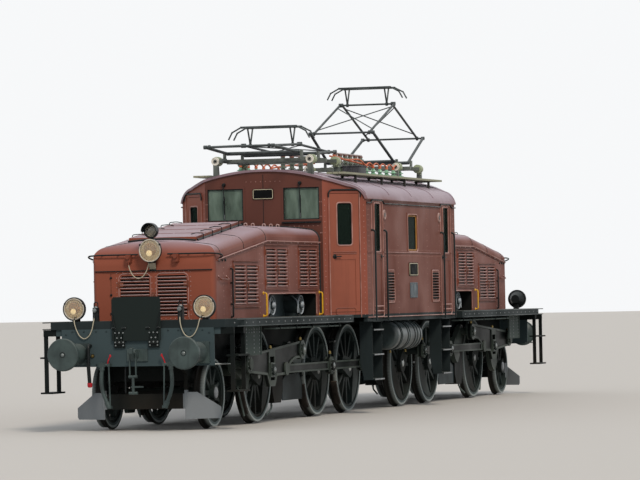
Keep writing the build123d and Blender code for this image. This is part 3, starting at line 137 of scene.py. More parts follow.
paints = {
    # dull alkyd paint over sheet steel: red oxide, mauve on top with dust and a painted reflection of the
    # sky, and a warmer painted light tone on the faces that look along the track
    "redOxidePaint": dict(grimeFoot=1.5, grimeTop=2.1, grimeAmount=0.25, dust="#A3949D", dustAmount=0.9,
                          dustFrom=0.38, specular=0.1, endLitTone="#8A4C39", zones=hoodZones),
    "redOxidePaintCab": dict(base="#71483E", patch="#643C33", dust="#8C7C81", grimeFoot=1.5, grimeTop=2.3,
                             grimeAmount=0.3, streakAmount=0.5, specular=0.06, zones=cabZones),
    # end and corner walls: darker towards the top
    "redOxidePaintEnds": dict(base="#84493A", patch="#733E30", streak="#54302A", grime="#2A1D19",
                              grimeFoot=3.7, grimeTop=3.2, grimeAmount=0.6, specular=0.2, zones=endZones),
    "redOxidePaintDoor": dict(base="#8A4E3C", patch="#7A4434", streak="#5C3329", specular=0.2,
                              zones=cabZones),
    "redTrim": dict(base="#71412F", patch="#5E3529", patchSize=0.3),
    # louvre lips and grille frames, pale: dust on them, and painted highlights on their edges
    "dustyLipWithHighlights": tones("#AD857D", "#855A50", "#5E3D36", "#D3C0C0", dustFrom=0.2, dustAmount=0.9,
                      patchSize=0.3, specular=0.2),
    "paleRivet": tones("#C4A9A2", "#A8877E", "#7A5A52", "#DCCFD0", patchSize=0.2),
    # edges of louvres and rivet heads, paler than the sheet: rubbed and dusty, and painted highlights
    "rubbedRed": tones("#A57F76", "#8A5F54", "#6A463D", "#C0AEB0", patchSize=0.2, roughness=0.45),
    # roof sheet, sooty above and pink with dust along the shoulder
    "sootyRoofPaint": tones("#87727A", "#715E64", "#43383C", "#A59AA6", dustAmount=0.85, dustFrom=0.1,
                            roughness=0.5, specular=0.3, grime="#6B4038", grimeFoot=3.29, grimeTop=3.4,
                            grimeAmount=0.9),
    # bituminous black of frames and gear, greenish, with brake dust
    "bitumenBlack": tones("#161B1B", "#101414", "#0B0E0E", "#3C423E", dustAmount=0.5, grime="#38322B",
                          grimeFoot=0.2, grimeTop=1.0, grimeAmount=0.45, roughness=0.55, specular=0.06,
                          zones=frameZones),
    "deckBlack": tones("#262E30", "#1E2526", "#171C1C", "#5D615C", dustAmount=0.6, roughness=0.6,
                       specular=0.08, zones=deckZones),
    "beamPaint": tones("#2F3B3E", "#252F31", "#1B2122", "#555C5A", grime="#2A2622", grimeFoot=0.8,
                       grimeTop=1.2, grimeAmount=0.3, roughness=0.5, specular=0.1),
    # oiled forgings of the drive: dark, smooth and wet looking
    "oiledForging": tones("#3C443F", "#2C332F", "#1A1F1D", "#6A726B", dustAmount=0.5, roughness=0.42,
                          specular=0.07, grain=0.004, zones=rodZones),
    "greasyBuffer": tones("#3F4C4B", "#2C3636", "#1C2323", "#5C6462", roughness=0.42, specular=0.25,
                          patchSize=0.25),
    "castMotorGrey": tones("#414C4F", "#303939", "#1C2223", "#7A8284", roughness=0.45, specular=0.12,
                           patchSize=0.4),
    "pantographBasePaint": tones("#6A706B", "#4C524E", "#2E3331", "#9BA098", roughness=0.45, metallic=0.2,
                                 patchSize=0.3, zones=baseZones),
    "galvanisedTube": tones("#4B5152", "#3A4040", "#2A2F2F", "#6B7172", roughness=0.45, metallic=0.4,
                            patchSize=0.3),
    "lampBlack": tones("#1E2324", "#161A1B", "#0D1010", "#43494A", roughness=0.35, patchSize=0.2,
                       zones=lampZones),
    "blackEnamel": tones("#1B1F20", "#141819", "#0D1010", "#3C4142", roughness=0.3, patchSize=0.2),
    "insideGreen": tones("#8B9484", "#7F8878", "#6B7265", "#8F9588", roughness=0.55, streakAmount=0.1),
    "orangeConductor": tones("#C4704F", "#B0573A", "#7A3A26", "#C9A08E", roughness=0.5, patchSize=0.12,
                             dustAmount=0.3),
    "yellowEnamel": tones("#D9A92A", "#C49421", "#8F6C1A", "#C7B277", roughness=0.4, patchSize=0.1),
    "signalRed": tones("#B22A33", "#971F28", "#6E161D", "#A8686B", roughness=0.4, patchSize=0.05),
    # warm disc in the lamp's bowl: a painted reflection
    "warmReflector": tones("#B98E62", "#8F6B45", "#6B4E33", "#CDB08A", roughness=0.3, metallic=0.4,
                           patchSize=0.05),
    "wornBrass": tones("#8E7B4B", "#75653C", "#4F4429", "#9A9070", roughness=0.38, metallic=0.8,
                       patchSize=0.05),
    "wornSteel": tones("#8C9190", "#6F7474", "#4A4E4E", "#8A8F8D", roughness=0.33, metallic=0.9,
                       patchSize=0.1, streakAmount=0.25),
    "rubberHose": tones("#55605D", "#444E4B", "#2C3331", "#6E7875", roughness=0.75, patchSize=0.1),
    "agedVarnish": tones("#A87836", "#8A5D28", "#63411B", "#A58F68", roughness=0.45, patchSize=0.15),
    "enamelPlate": tones("#131516", "#101213", "#0C0D0E", "#2E3132", roughness=0.6, specular=0.05,
                         patchSize=0.1),
    "lampRim": tones("#BDB6A8", "#A39C8E", "#77705F", "#CFC9BC", roughness=0.35, patchSize=0.05),
    "rimGrey": tones("#82868A", "#6A6E70", "#4A4D4E", "#A0A4A2", roughness=0.4, patchSize=0.1),
    "ventRose": tones("#9A7F78", "#83655D", "#5E453F", "#B5A5A3", patchSize=0.1),
    # blower rims: paler on their upper half, a painted highlight
    "blowerRim": tones("#8E979C", "#6C757A", "#454C50", "#C3CCD4", dustFrom=-0.1, roughness=0.35,
                       specular=0.5, patchSize=0.1),
    # air reservoirs: paler on top, a painted sheen
    "reservoirPaint": tones("#3C4748", "#2C3536", "#1B2121", "#8F9BA3", dustFrom=0.5, roughness=0.36,
                            specular=0.5, patchSize=0.3),
    "brakeIron": tones("#2A2521", "#1F1B18", "#14110F", "#4A423A", roughness=0.7, patchSize=0.1),
    "deckLip": tones("#3A4446", "#2E3638", "#1D2324", "#8A8F8C", dustAmount=0.9),
    "fuseBoxGrey": tones("#55565A", "#444549", "#2D2E30", "#77787C", patchSize=0.3),
    "frameBlack": tones("#1B2020", "#141818", "#0D1010", "#4A504C", roughness=0.55, specular=0.06),
    "castPlateGrey": tones("#59646A", "#4B555A", "#363D41", "#6E787D", roughness=0.5, patchSize=0.1),
    "paleEnamel": tones("#C9C3A8", "#B5AE92", "#857E66", "#C9C4AE", roughness=0.35, patchSize=0.1),
}


def outdoorMetal(name, own):
    s = {**weathering, **own}
    material, tree, shader = startMaterial(
        name, Roughness=s["roughness"], Metallic=s["metallic"], Specular_IOR_Level=s["specular"])
    coord = addNode(tree, "TexCoord")
    place = coord.outputs["Object"]
    patches = addNode(tree, "TexNoise", [(place, "Vector")], {"Scale": 1 / s["patchSize"], "Detail": 7.0})
    patchRange = addNode(
        tree, "MapRange", [(patches.outputs["Fac"], "Value")], {"From Min": 0.38, "From Max": 0.66})
    drawn = addNode(tree, "Mapping", [(place, "Vector")], {"Scale": (1.0, 1.0, 0.05)})
    streaks = addNode(
        tree, "TexNoise", [(drawn.outputs["Vector"], "Vector")],
        {"Scale": 1 / s["streakWidth"], "Detail": 5.0})
    streakRange = addNode(
        tree, "MapRange", [(streaks.outputs["Fac"], "Value")], {"From Min": 0.55, "From Max": 0.78,
        "To Max": s["streakAmount"]})
    grain = addNode(tree, "TexNoise", [(place, "Vector")], {"Scale": 1 / s["grain"], "Detail": 3.0})
    facing = addNode(tree, "SeparateXYZ", [(coord.outputs["Normal"], "Vector")])
    # faces that look up turn paler: dust, and on glossy parts a painted sheen
    upward = addNode(
        tree, "MapRange", [(facing.outputs["Z"], "Value")], {"From Min": s["dustFrom"], "From Max": 0.95,
        "To Max": s["dustAmount"]})
    patchyTop = addNode(
        tree, "MapRange", [(patches.outputs["Fac"], "Value")], {"From Min": 0.3, "From Max": 0.6,
        "To Min": 0.55})
    dustAndSheenMask = addNode(
        tree, "Math", [(upward.outputs[0], 0), (patchyTop.outputs[0], 1)], operation="MULTIPLY")
    height = addNode(tree, "SeparateXYZ", [(place, "Vector")])
    low = addNode(
        tree, "MapRange", [(height.outputs["Z"], "Value")], {"From Min": s["grimeTop"] + railTop,
        "From Max": s["grimeFoot"] + railTop, "To Max": s["grimeAmount"]})
    lowMask = addNode(tree, "Math", [(low.outputs[0], 0), (patchRange.outputs[0], 1)], operation="MULTIPLY")
    colour = None
    for mask, tone in (
            (patchRange.outputs[0], "patch"), (streakRange.outputs[0], "streak"),
            (lowMask.outputs[0], "grime"), (dustAndSheenMask.outputs[0], "dust")):
        mix = addNode(tree, "Mix", [(mask, 0)], {7: linear(s[tone])}, data_type="RGBA")
        if colour is None:
            mix.inputs[6].default_value = linear(s["base"])
        else:
            tree.links.new(colour, mix.inputs[6])
        colour = mix.outputs[2]
    rough = addNode(
        tree, "MapRange", [(patches.outputs["Fac"], "Value")], {"From Min": 0.3, "From Max": 0.7,
        "To Min": max(0.05, s["roughness"] - 0.12), "To Max": min(1.0, s["roughness"] + 0.14)})
    relief = addNode(
        tree, "Bump", [(grain.outputs["Fac"], "Height")], {"Strength": s["bump"], "Distance": 0.002})
    # faces that look along the line of travel get a warmer tone: painted light, stronger the more squarely
    # they face along the track
    if s["endLitTone"]:
        along = addNode(tree, "Math", [(facing.outputs["X"], 0)], operation="ABSOLUTE")
        endLitMask = addNode(
            tree, "MapRange", [(along.outputs[0], "Value")], {"From Min": 0.35, "From Max": 0.95,
            "To Max": 0.8})
        mix = addNode(
            tree, "Mix", [(endLitMask.outputs[0], 0), (colour, 6)], {7: linear(s["endLitTone"])}, data_type="RGBA")
        colour = mix.outputs[2]
    for lowCorner, highCorner, zoneColour in s["zones"]:
        mask = boxMask(tree, place, lowCorner, highCorner)
        mix = addNode(tree, "Mix", [(mask, 0), (colour, 6)], {7: linear(zoneColour)}, data_type="RGBA")
        colour = mix.outputs[2]
    if s["wheelAt"]:  # bare, worn rim: a band between two radii round the axle
        x, z, inner, outer = s["wheelAt"]
        centred = addNode(
            tree, "Mapping", [(place, "Vector")], {"Location": (-x, 0.0, -z), "Scale": (1.0, 0.0, 1.0)})
        radius = addNode(tree, "VectorMath", [(centred.outputs["Vector"], 0)], operation="LENGTH")
        band = addNode(
            tree, "MapRange", [(radius.outputs["Value"], "Value")],
            {"From Min": inner, "From Max": inner + 0.008})
        edge = addNode(
            tree, "MapRange", [(radius.outputs["Value"], "Value")], {"From Min": outer - 0.034,
            "From Max": outer - 0.030})
        tread = addNode(
            tree, "MapRange", [(radius.outputs["Value"], "Value")], {"From Min": outer - 0.004,
            "From Max": outer - 0.001})
        for mask, tone in ((band, "#465152"), (edge, "#858D8C"), (tread, "#1F1E1C")):
            mix = addNode(
                tree, "Mix", [(mask.outputs[0], 0), (colour, 6)], {7: linear(tone)}, data_type="RGBA")
            colour = mix.outputs[2]
    tree.links.new(colour, shader.inputs["Base Color"])
    tree.links.new(rough.outputs[0], shader.inputs["Roughness"])
    tree.links.new(relief.outputs["Normal"], shader.inputs["Normal"])
    return material


materials = {name: outdoorMetal(name, own) for name, own in paints.items()}
print("painted metals ready")


# Float glass, a little green; a pale film on the end panes, none on the side panes
glassLook = {
    "tint": "#3A4B44", "film": "#93A99B", "filmAmount": 0.75, "endPanes": ((3.0, 0, 2.8), (3.3, 1.0, 3.6))}


def windowGlass():
    material, tree, shader = startMaterial(
        "floatGlass", Roughness=0.05, IOR=1.03, Transmission_Weight=0.75, Specular_IOR_Level=0.3)
    coord = addNode(tree, "TexCoord")
    slanted = addNode(
        tree, "Mapping", [(coord.outputs["Object"], "Vector")], {"Rotation": (0.6, 0.0, 0.0),
        "Scale": (1.0, 2.6, 0.8)})
    smear = addNode(
        tree, "TexNoise", [(slanted.outputs["Vector"], "Vector")], {"Scale": 1.7, "Detail": 4.0})
    amount = addNode(
        tree, "MapRange", [(smear.outputs["Fac"], "Value")], {"From Min": 0.36, "From Max": 0.66,
        "To Min": 0.3, "To Max": glassLook["filmAmount"]})
    ends = boxMask(tree, coord.outputs["Object"], *glassLook["endPanes"])
    film = addNode(tree, "Math", [(amount.outputs[0], 0), (ends, 1)], operation="MULTIPLY")
    tint = addNode(
        tree, "Mix", [(film.outputs[0], 0)], {6: linear(glassLook["tint"]), 7: linear(glassLook["film"])},
        data_type="RGBA")
    clear = addNode(tree, "MapRange", [(film.outputs[0], "Value")], {"To Min": 0.8, "To Max": 0.1})
    tree.links.new(tint.outputs[2], shader.inputs["Base Color"])
    tree.links.new(clear.outputs[0], shader.inputs["Transmission Weight"])
    return material


# Lens of a lamp: pressed clear glass with ribs, in front of a warm reflector
def lensGlass():
    material, tree, shader = startMaterial("pressedLensGlass", Roughness=0.08, IOR=1.5)
    shader.inputs["Transmission Weight"].default_value = 0.9
    shader.inputs["Base Color"].default_value = linear("#F1E9D6")
    coord = addNode(tree, "TexCoord")
    ribs = addNode(
        tree, "TexWave", [(coord.outputs["Object"], "Vector")], {"Scale": 12.0, "Distortion": 0.3},
        wave_type="BANDS", bands_direction="Y")
    relief = addNode(tree, "Bump", [(ribs.outputs["Fac"], "Height")], {"Strength": 0.05, "Distance": 0.002})
    tree.links.new(relief.outputs["Normal"], shader.inputs["Normal"])
    return material


# Silvered bowl behind the lens, cream with brown blotches: a painted reflection
def reflectorSilver():
    material, tree, shader = startMaterial("silveredReflector", Roughness=0.3, Metallic=0.75)
    coord = addNode(tree, "TexCoord")
    reflectionBlotches = addNode(
        tree, "TexNoise", [(coord.outputs["Object"], "Vector")], {"Scale": 9.0, "Detail": 4.0})
    mix = addNode(
        tree, "Mix", [(reflectionBlotches.outputs["Fac"], 0)], {6: linear("#D9CDB4"), 7: linear("#A98F6C")},
        data_type="RGBA")
    tree.links.new(mix.outputs[2], shader.inputs["Base Color"])
    return material


# Lamp bulb seen through the ribs: its small warm glow is a painted highlight
def bulbHighlight():
    material, tree, shader = startMaterial("glowingBulbHighlight", Roughness=0.4)
    coord = addNode(tree, "TexCoord")
    cloud = addNode(tree, "TexNoise", [(coord.outputs["Object"], "Vector")], {"Scale": 30.0})
    mix = addNode(
        tree, "Mix", [(cloud.outputs["Fac"], 0)], {6: linear("#FFF6DC"), 7: linear("#FFE3A6")},
        data_type="RGBA")
    tree.links.new(mix.outputs[2], shader.inputs["Base Color"])
    shader.inputs["Emission Color"].default_value = linear("#FFF0CC")
    shader.inputs["Emission Strength"].default_value = 0.5
    return material


# Glazed porcelain or toughened glass of the insulators: glossy, dirt in the grooves
def insulatorGlaze(name, colour, dirt, zones=()):
    material, tree, shader = startMaterial(name, Roughness=0.16, IOR=1.5)
    shader.inputs["Coat Weight"].default_value = 0.4
    coord = addNode(tree, "TexCoord")
    soot = addNode(tree, "TexNoise", [(coord.outputs["Object"], "Vector")], {"Scale": 16.0, "Detail": 5.0})
    amount = addNode(
        tree, "MapRange", [(soot.outputs["Fac"], "Value")], {"From Min": 0.45, "From Max": 0.7,
        "To Max": 0.7})
    mix = addNode(
        tree, "Mix", [(amount.outputs[0], 0)], {6: linear(colour), 7: linear(dirt)}, data_type="RGBA")
    for lowCorner, highCorner, zoneColour in zones:
        mask = boxMask(tree, coord.outputs["Object"], lowCorner, highCorner)
        mix = addNode(
            tree, "Mix", [(mask, 0), (mix.outputs[2], 6)], {7: linear(zoneColour)}, data_type="RGBA")
    tree.links.new(mix.outputs[2], shader.inputs["Base Color"])
    return material


# Softwood planks gone grey outdoors: grain along X, olive where moss sits
plankLook = {
    "pale": "#A9A892", "dark": "#6F7062", "moss": "#7C8268",
    # the brackets under the planks, dark: painted shadow under the walkway
    "bracket": ((0, 0.8, 3.0), (3.2, 1.3, 3.640), "#1E1D1A"), "grainWidth": 0.012}


def weatheredPlank():
    material, tree, shader = startMaterial("weatheredPlank", Roughness=0.85)
    coord = addNode(tree, "TexCoord")
    drawn = addNode(tree, "Mapping", [(coord.outputs["Object"], "Vector")], {"Scale": (0.04, 1.0, 1.0)})
    fibres = addNode(
        tree, "TexNoise", [(drawn.outputs["Vector"], "Vector")], {"Scale": 1 / plankLook["grainWidth"],
        "Detail": 8.0})
    mix = addNode(
        tree, "Mix", [(fibres.outputs["Fac"], 0)], {6: linear(plankLook["dark"]),
        7: linear(plankLook["pale"])}, data_type="RGBA")
    damp = addNode(tree, "TexNoise", [(coord.outputs["Object"], "Vector")], {"Scale": 1.4, "Detail": 5.0})
    dampRange = addNode(
        tree, "MapRange", [(damp.outputs["Fac"], "Value")], {"From Min": 0.45, "From Max": 0.65,
        "To Max": 0.7})
    moss = addNode(
        tree, "Mix", [(dampRange.outputs[0], 0), (mix.outputs[2], 6)], {7: linear(plankLook["moss"])},
        data_type="RGBA")
    lowCorner, highCorner, bracketColour = plankLook["bracket"]
    under = boxMask(tree, coord.outputs["Object"], lowCorner, highCorner)
    wood = addNode(
        tree, "Mix", [(under, 0), (moss.outputs[2], 6)], {7: linear(bracketColour)}, data_type="RGBA")
    relief = addNode(
        tree, "Bump", [(fibres.outputs["Fac"], "Height")], {"Strength": 0.5, "Distance": 0.004})
    tree.links.new(wood.outputs[2], shader.inputs["Base Color"])
    tree.links.new(relief.outputs["Normal"], shader.inputs["Normal"])
    return material


materials["floatGlass"] = windowGlass()
materials["pressedLensGlass"] = lensGlass()
materials["silveredReflector"] = reflectorSilver()
materials["glowingBulbHighlight"] = bulbHighlight()
materials["greenGlaze"] = insulatorGlaze("greenGlaze", "#7FB08F", "#3F5246")
materials["brownGlaze"] = insulatorGlaze("brownGlaze", "#5E6A5C", "#34392F", conductorZones)
materials["whiteGlaze"] = insulatorGlaze("whiteGlaze", "#DAD8CC", "#8F8C80")
materials["weatheredPlank"] = weatheredPlank()
print("glass, glaze and wood ready")


# Finishes of the CAD nodes
nodeFinish = (
    ("truck_frame", "bitumenBlack"), ("running_plate", "deckBlack"), ("buffers", "greasyBuffer"),
    ("lamps", "lampBlack"), ("hood", "redOxidePaint"), ("traction_motors", "castMotorGrey"),
    ("jackshaft", "oiledForging"), ("blind_shaft", "oiledForging"), ("drive_rods", "oiledForging"),
    ("side_wall", "redOxidePaintCab"), ("side_door", "redOxidePaintCab"), ("end_wall", "redOxidePaintEnds"),
    ("end_door", "redOxidePaintDoor"), ("bulkheads", "insideGreen"), ("transformer", "castMotorGrey"),
    ("cab_roof", "sootyRoofPaint"), ("body_underframe", "deckBlack"), ("steps_and_rails", "deckBlack"),
    ("air_reservoirs", "reservoirPaint"), ("window_glass", "floatGlass"),
    ("roof_walkways", "weatheredPlank"), ("roof_conductors", "brownGlaze"),
    ("pantograph_bases", "pantographBasePaint"), ("pantograph", "galvanisedTube"),)
wheelSizes = {  # distance outwards, radius of the tread, inner radius of the tyre's face
    "wheelset_carrying": (8.25, 0.475, 0.407), "wheelset_outer": (6.25, 0.675, 0.607),
    "wheelset_middle": (3.25, 0.675, 0.607), "wheelset_inner": (1.55, 0.675, 0.607),
}


def dressNodes():
    for name, node in cadNodes.items():
        finish = next((look for prefix, look in nodeFinish if name.startswith(prefix)), None)
        material = materials.get(finish)
        for number, way in trucks:
            for prefix, (u, tread, tyre) in wheelSizes.items():
                if name == f"{prefix}_{number}":
                    own = {
                        **paints["bitumenBlack"], "base": "#2B3433", "grimeAmount": 0.3,
                        "wheelAt": (way * u, tread + railTop, tyre, tread)}
                    material = outdoorMetal(f"castWheel{prefix[9:].title()}{number}", own)
        node.data.materials.clear()
        node.data.materials.append(material)


dressNodes()
print("CAD nodes dressed")


# Modelling helpers

def useMode(mode):
    bpy.ops.object.mode_set(mode=mode)


def clearSelection():
    if bpy.context.object and bpy.context.object.mode != "OBJECT":
        useMode("OBJECT")
    bpy.ops.object.select_all(action="DESELECT")
    bpy.context.tool_settings.mesh_select_mode = (True, False, False)


def pick(*pieces):
    clearSelection()
    for piece in pieces:
        piece.select_set(True)
    bpy.context.view_layer.objects.active = pieces[0]


def useModifier(piece, kind, **settings):
    pick(piece)
    modifier = piece.modifiers.new(kind, kind)
    for key, value in settings.items():
        setattr(modifier, key, value)
    bpy.ops.object.modifier_apply(modifier=modifier.name)


def settle(piece):
    pick(piece)
    bpy.ops.object.transform_apply(location=True, rotation=True, scale=True)


def join(name, pieces):
    pick(*pieces)
    if len(pieces) > 1:
        bpy.ops.object.join()
    piece = bpy.context.object
    piece.name = name
    piece.data.name = name
    return piece


def finish(piece, body, finishName, slot, smooth=35):
    pick(piece)
    bpy.ops.object.shade_smooth_by_angle(angle=math.radians(smooth))
    piece.data.materials.clear()
    piece.data.materials.append(materials[finishName])
    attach(piece, body)
    return piece


def finishAll(body, number, rows):  # name, parts or places, material, slot, then radius and head of studs
    for name, parts, finishName, slot, *stud in rows:
        make = studs if stud else join
        smooth = (60 if stud[1] is rivetHead else 30) if stud else 35
        finish(make(f"{name}{number}", parts, *stud), body, finishName, slot, smooth)


def plate(low, high, edge=0.003):  # a flat or square piece with its edges broken
    low, high = Vector(low), Vector(high)
    clearSelection()
    bpy.ops.mesh.primitive_cube_add(size=1, location=(low + high) / 2)
    piece = bpy.context.object
    piece.scale = [abs(c) for c in high - low]
    settle(piece)
    useModifier(piece, "BEVEL", width=edge, segments=2, limit_method="ANGLE")
    return piece


def roundPlate(middle, width, depth, height, axis, corner, edge=0.002):  # a plate with rounded corners
    clearSelection()
    bpy.ops.mesh.primitive_cube_add(size=1, location=(0, 0, 0))
    piece = bpy.context.object
    piece.scale = (width, depth, height)
    settle(piece)
    useMode("EDIT")
    bpy.ops.mesh.select_mode(type="EDGE")
    bpy.ops.mesh.select_all(action="DESELECT")
    mesh = bmesh.from_edit_mesh(piece.data)
    for e in mesh.edges:
        if abs((e.verts[0].co - e.verts[1].co).y) > depth * 0.5:
            e.select_set(True)
    bmesh.update_edit_mesh(piece.data)
    bpy.ops.mesh.bevel(offset=corner, segments=5)
    useMode("OBJECT")
    useModifier(piece, "BEVEL", width=edge, segments=2, limit_method="ANGLE", angle_limit=math.radians(50))
    piece.data.transform(Matrix.Rotation(math.atan2(axis[1], axis[0]) + math.pi / 2, 4, "Z"))
    piece.data.transform(Matrix.Translation(Vector(middle)))
    return piece


def firstPoint(place):  # one vertex in edit mode, to extrude from
    clearSelection()
    bpy.ops.mesh.primitive_plane_add(size=1)
    piece = bpy.context.object
    useMode("EDIT")
    bpy.ops.mesh.merge(type="CENTER")
    mesh = bmesh.from_edit_mesh(piece.data)
    mesh.verts.ensure_lookup_table()
    mesh.verts[0].co = place
    mesh.verts[0].select = True
    bmesh.update_edit_mesh(piece.data)
    return piece


# a bar or tube, its corners bent round
def pipe(points, radius, corner=0.0, sides=10, steps=4, closed=False):
    piece = firstPoint(points[0])
    for a, b in zip(points, points[1:]):
        bpy.ops.mesh.extrude_region_move(TRANSFORM_OT_translate={"value": Vector(b) - Vector(a)})
    if closed:
        bpy.ops.mesh.select_all(action="DESELECT")
        mesh = bmesh.from_edit_mesh(piece.data)
        for v in mesh.verts:
            v.select_set(len(v.link_edges) == 1)
        bmesh.update_edit_mesh(piece.data)
        bpy.ops.mesh.edge_face_add()
    if corner:
        bpy.ops.mesh.select_all(action="DESELECT")
        mesh = bmesh.from_edit_mesh(piece.data)
        for v in mesh.verts:
            v.select = len(v.link_edges) == 2
        mesh.select_flush_mode()
        bmesh.update_edit_mesh(piece.data)
        bpy.ops.mesh.bevel(offset=corner, segments=steps, affect="VERTICES")
    useMode("OBJECT")
    bpy.ops.object.convert(target="CURVE")
    piece = bpy.context.object
    piece.data.bevel_depth = radius
    piece.data.fill_mode = "FULL"
    piece.data.bevel_resolution = (sides - 4) // 2
    piece.data.use_fill_caps = True
    bpy.ops.object.convert(target="MESH")
    return bpy.context.object


def turned(profile, place, axis, steps=24):  # (radius, distance along the axis) points, spun round the axis
    piece = firstPoint((profile[0][0], 0, profile[0][1]))
    for a, b in zip(profile, profile[1:]):
        bpy.ops.mesh.extrude_region_move(TRANSFORM_OT_translate={"value": (b[0] - a[0], 0, b[1] - a[1])})
    bpy.ops.mesh.select_all(action="SELECT")
    bpy.ops.mesh.spin(steps=steps, angle=math.tau, center=(0, 0, 0), axis=(0, 0, 1))
    bpy.ops.mesh.select_all(action="SELECT")
    bpy.ops.mesh.remove_doubles(threshold=0.00005)
    bpy.ops.mesh.normals_make_consistent(inside=False)
    useMode("OBJECT")
    piece.data.transform(upBy(1).rotation_difference(Vector(axis)).to_matrix().to_4x4())
    piece.data.transform(Matrix.Translation(Vector(place)))
    return piece


def copyOf(piece, move):  # its own mesh, moved
    other = piece.copy()
    other.data = piece.data.copy()
    bpy.context.scene.collection.objects.link(other)
    other.data.transform(Matrix.Translation(Vector(move)))
    return other


def studHead(sides):  # one rivet or bolt head, its foot on the XY plane, radius 1
    clearSelection()
    if sides == 6:
        bpy.ops.mesh.primitive_cylinder_add(vertices=6, radius=1, depth=0.7, location=(0, 0, 0.35))
        piece = bpy.context.object
        settle(piece)
        useModifier(piece, "BEVEL", width=0.14, segments=1, limit_method="ANGLE")
    else:
        bpy.ops.mesh.primitive_uv_sphere_add(segments=sides, ring_count=6, radius=1)
        piece = bpy.context.object
        useMode("EDIT")
        bpy.ops.mesh.select_all(action="SELECT")
        bpy.ops.mesh.bisect(plane_co=(0, 0, 0), plane_no=(0, 0, 1), clear_inner=True)
        useMode("OBJECT")
        piece.scale.z = 0.6
        settle(piece)
    return piece


rivetHead, boltHead = studHead(8), studHead(6)


def studs(name, spots, radius, head):  # (point, outward direction) pairs
    stamp = bmesh.new()
    for point, outward in spots:
        before = set(stamp.verts)
        stamp.from_mesh(head.data)
        fresh = [v for v in stamp.verts if v not in before]
        turn = upBy(1).rotation_difference(Vector(outward)).to_matrix().to_4x4()
        bmesh.ops.transform(
            stamp, matrix=Matrix.Translation(Vector(point)) @ turn @ Matrix.Scale(radius, 4), verts=fresh)
    mesh = bpy.data.meshes.new(name)
    stamp.to_mesh(mesh)
    stamp.free()
    piece = bpy.data.objects.new(name, mesh)
    bpy.context.scene.collection.objects.link(piece)
    return piece


# where a line from outside meets a CAD node, and the way its face looks
def strike(node, start, direction):
    hit, point, normal, _ = cadNodes[node].ray_cast(Vector(start), Vector(direction))
    return (point, normal) if hit else None


def met(strikes):  # the places of the lines that met the node
    return [spot[0] for spot in strikes if spot]


def rowOn(node, start, end, count, direction):  # evenly spaced places on a CAD node
    a, b = Vector(start), Vector(end)
    found = [strike(node, a.lerp(b, k / max(1, count - 1)), direction) for k in range(count)]
    return [spot for spot in found if spot]


# Camera, light and floor

photo = {
    "place": (-61.164, -18.175, 1.793), "azimuth": -73.40, "elevation": -0.83, "roll": -1.13,
    "lens": 224.505}


def setCamera():
    az, el, roll = (math.radians(photo[k]) for k in ("azimuth", "elevation", "roll"))
    look = Vector((-math.sin(az) * math.cos(el), math.cos(az) * math.cos(el), -math.sin(el)))
    right = look.cross(upBy(1)).normalized()
    up = right.cross(look)
    x = math.cos(roll) * right + math.sin(roll) * up
    y = math.cos(roll) * up - math.sin(roll) * right
    data = bpy.data.cameras.new("photoCamera")
    data.lens, data.sensor_width, data.clip_end = photo["lens"], 36.0, 500.0
    camera = bpy.data.objects.new("photoCamera", data)
    bpy.context.scene.collection.objects.link(camera)
    turn = Matrix((x, y, -look)).transposed().to_4x4()
    camera.matrix_world = Matrix.Translation(Vector(photo["place"])) @ turn
    bpy.context.scene.camera = camera


light = {
    "sky": 0.72, "skyColour": "#F4F8FF", "sun": 2.1, "sunColour": "#FFF1E2",
    "sunFrom": (-0.80, -0.62, 0.95), "sunAngle": 14, "floor": "#B9B7B2"}


def setLight():
    scene = bpy.context.scene
    scene.view_settings.view_transform = "Standard"
    scene.world = bpy.data.worlds.new("overcastSky")
    scene.world.use_nodes = True
    tree = scene.world.node_tree
    sky = tree.nodes["Background"]
    sky.inputs["Color"].default_value = linear(light["skyColour"])
    sky.inputs["Strength"].default_value = light["sky"]
    path = addNode(tree, "LightPath")
    pale = addNode(tree, "Background", inputs={"Color": (0.93, 0.94, 0.95, 1), "Strength": 1.0})
    glossOrCamera = addNode(
        tree, "Math", [(path.outputs["Is Camera Ray"], 0), (path.outputs["Is Glossy Ray"], 1)],
        operation="MAXIMUM")
    seen = addNode(
        tree, "Math", [(glossOrCamera.outputs[0], 0), (path.outputs["Is Transmission Ray"], 1)],
        operation="MAXIMUM")
    mix = addNode(tree, "MixShader", [(seen.outputs[0], 0), (sky.outputs[0], 1), (pale.outputs[0], 2)])
    tree.links.new(mix.outputs[0], tree.nodes["World Output"].inputs["Surface"])
    lamp = bpy.data.lights.new("softSun", "SUN")
    lamp.energy, lamp.angle = light["sun"], math.radians(light["sunAngle"])
    lamp.color = linear(light["sunColour"])[:3]
    sun = bpy.data.objects.new("softSun", lamp)
    scene.collection.objects.link(sun)
    sun.rotation_euler = Vector(light["sunFrom"]).to_track_quat("Z", "Y").to_euler()
    clearSelection()
    bpy.ops.mesh.primitive_plane_add(size=600, location=(0, 0, 0))
    floor = bpy.context.object
    floor.name = "paleFloor"
    material, tree, shader = startMaterial("paleFloor", Roughness=0.9)
    shader.inputs["Base Color"].default_value = linear(light["floor"])
    floor.data.materials.append(material)


setCamera()
setLight()
print("camera, light and floor set")


# Headlamps: a pressed lens in a rim, a silvered bowl and the lamp's fasteners

deckLamp = {"at": 9.02, "across": 0.95, "height": 1.675, "radius": 0.138}
browLamp = {"at": 8.50, "across": 0.0, "height": 2.47, "radius": 0.149}
smallLamp = {"at": 8.45, "across": 0.0, "height": 2.745, "radius": 0.086}


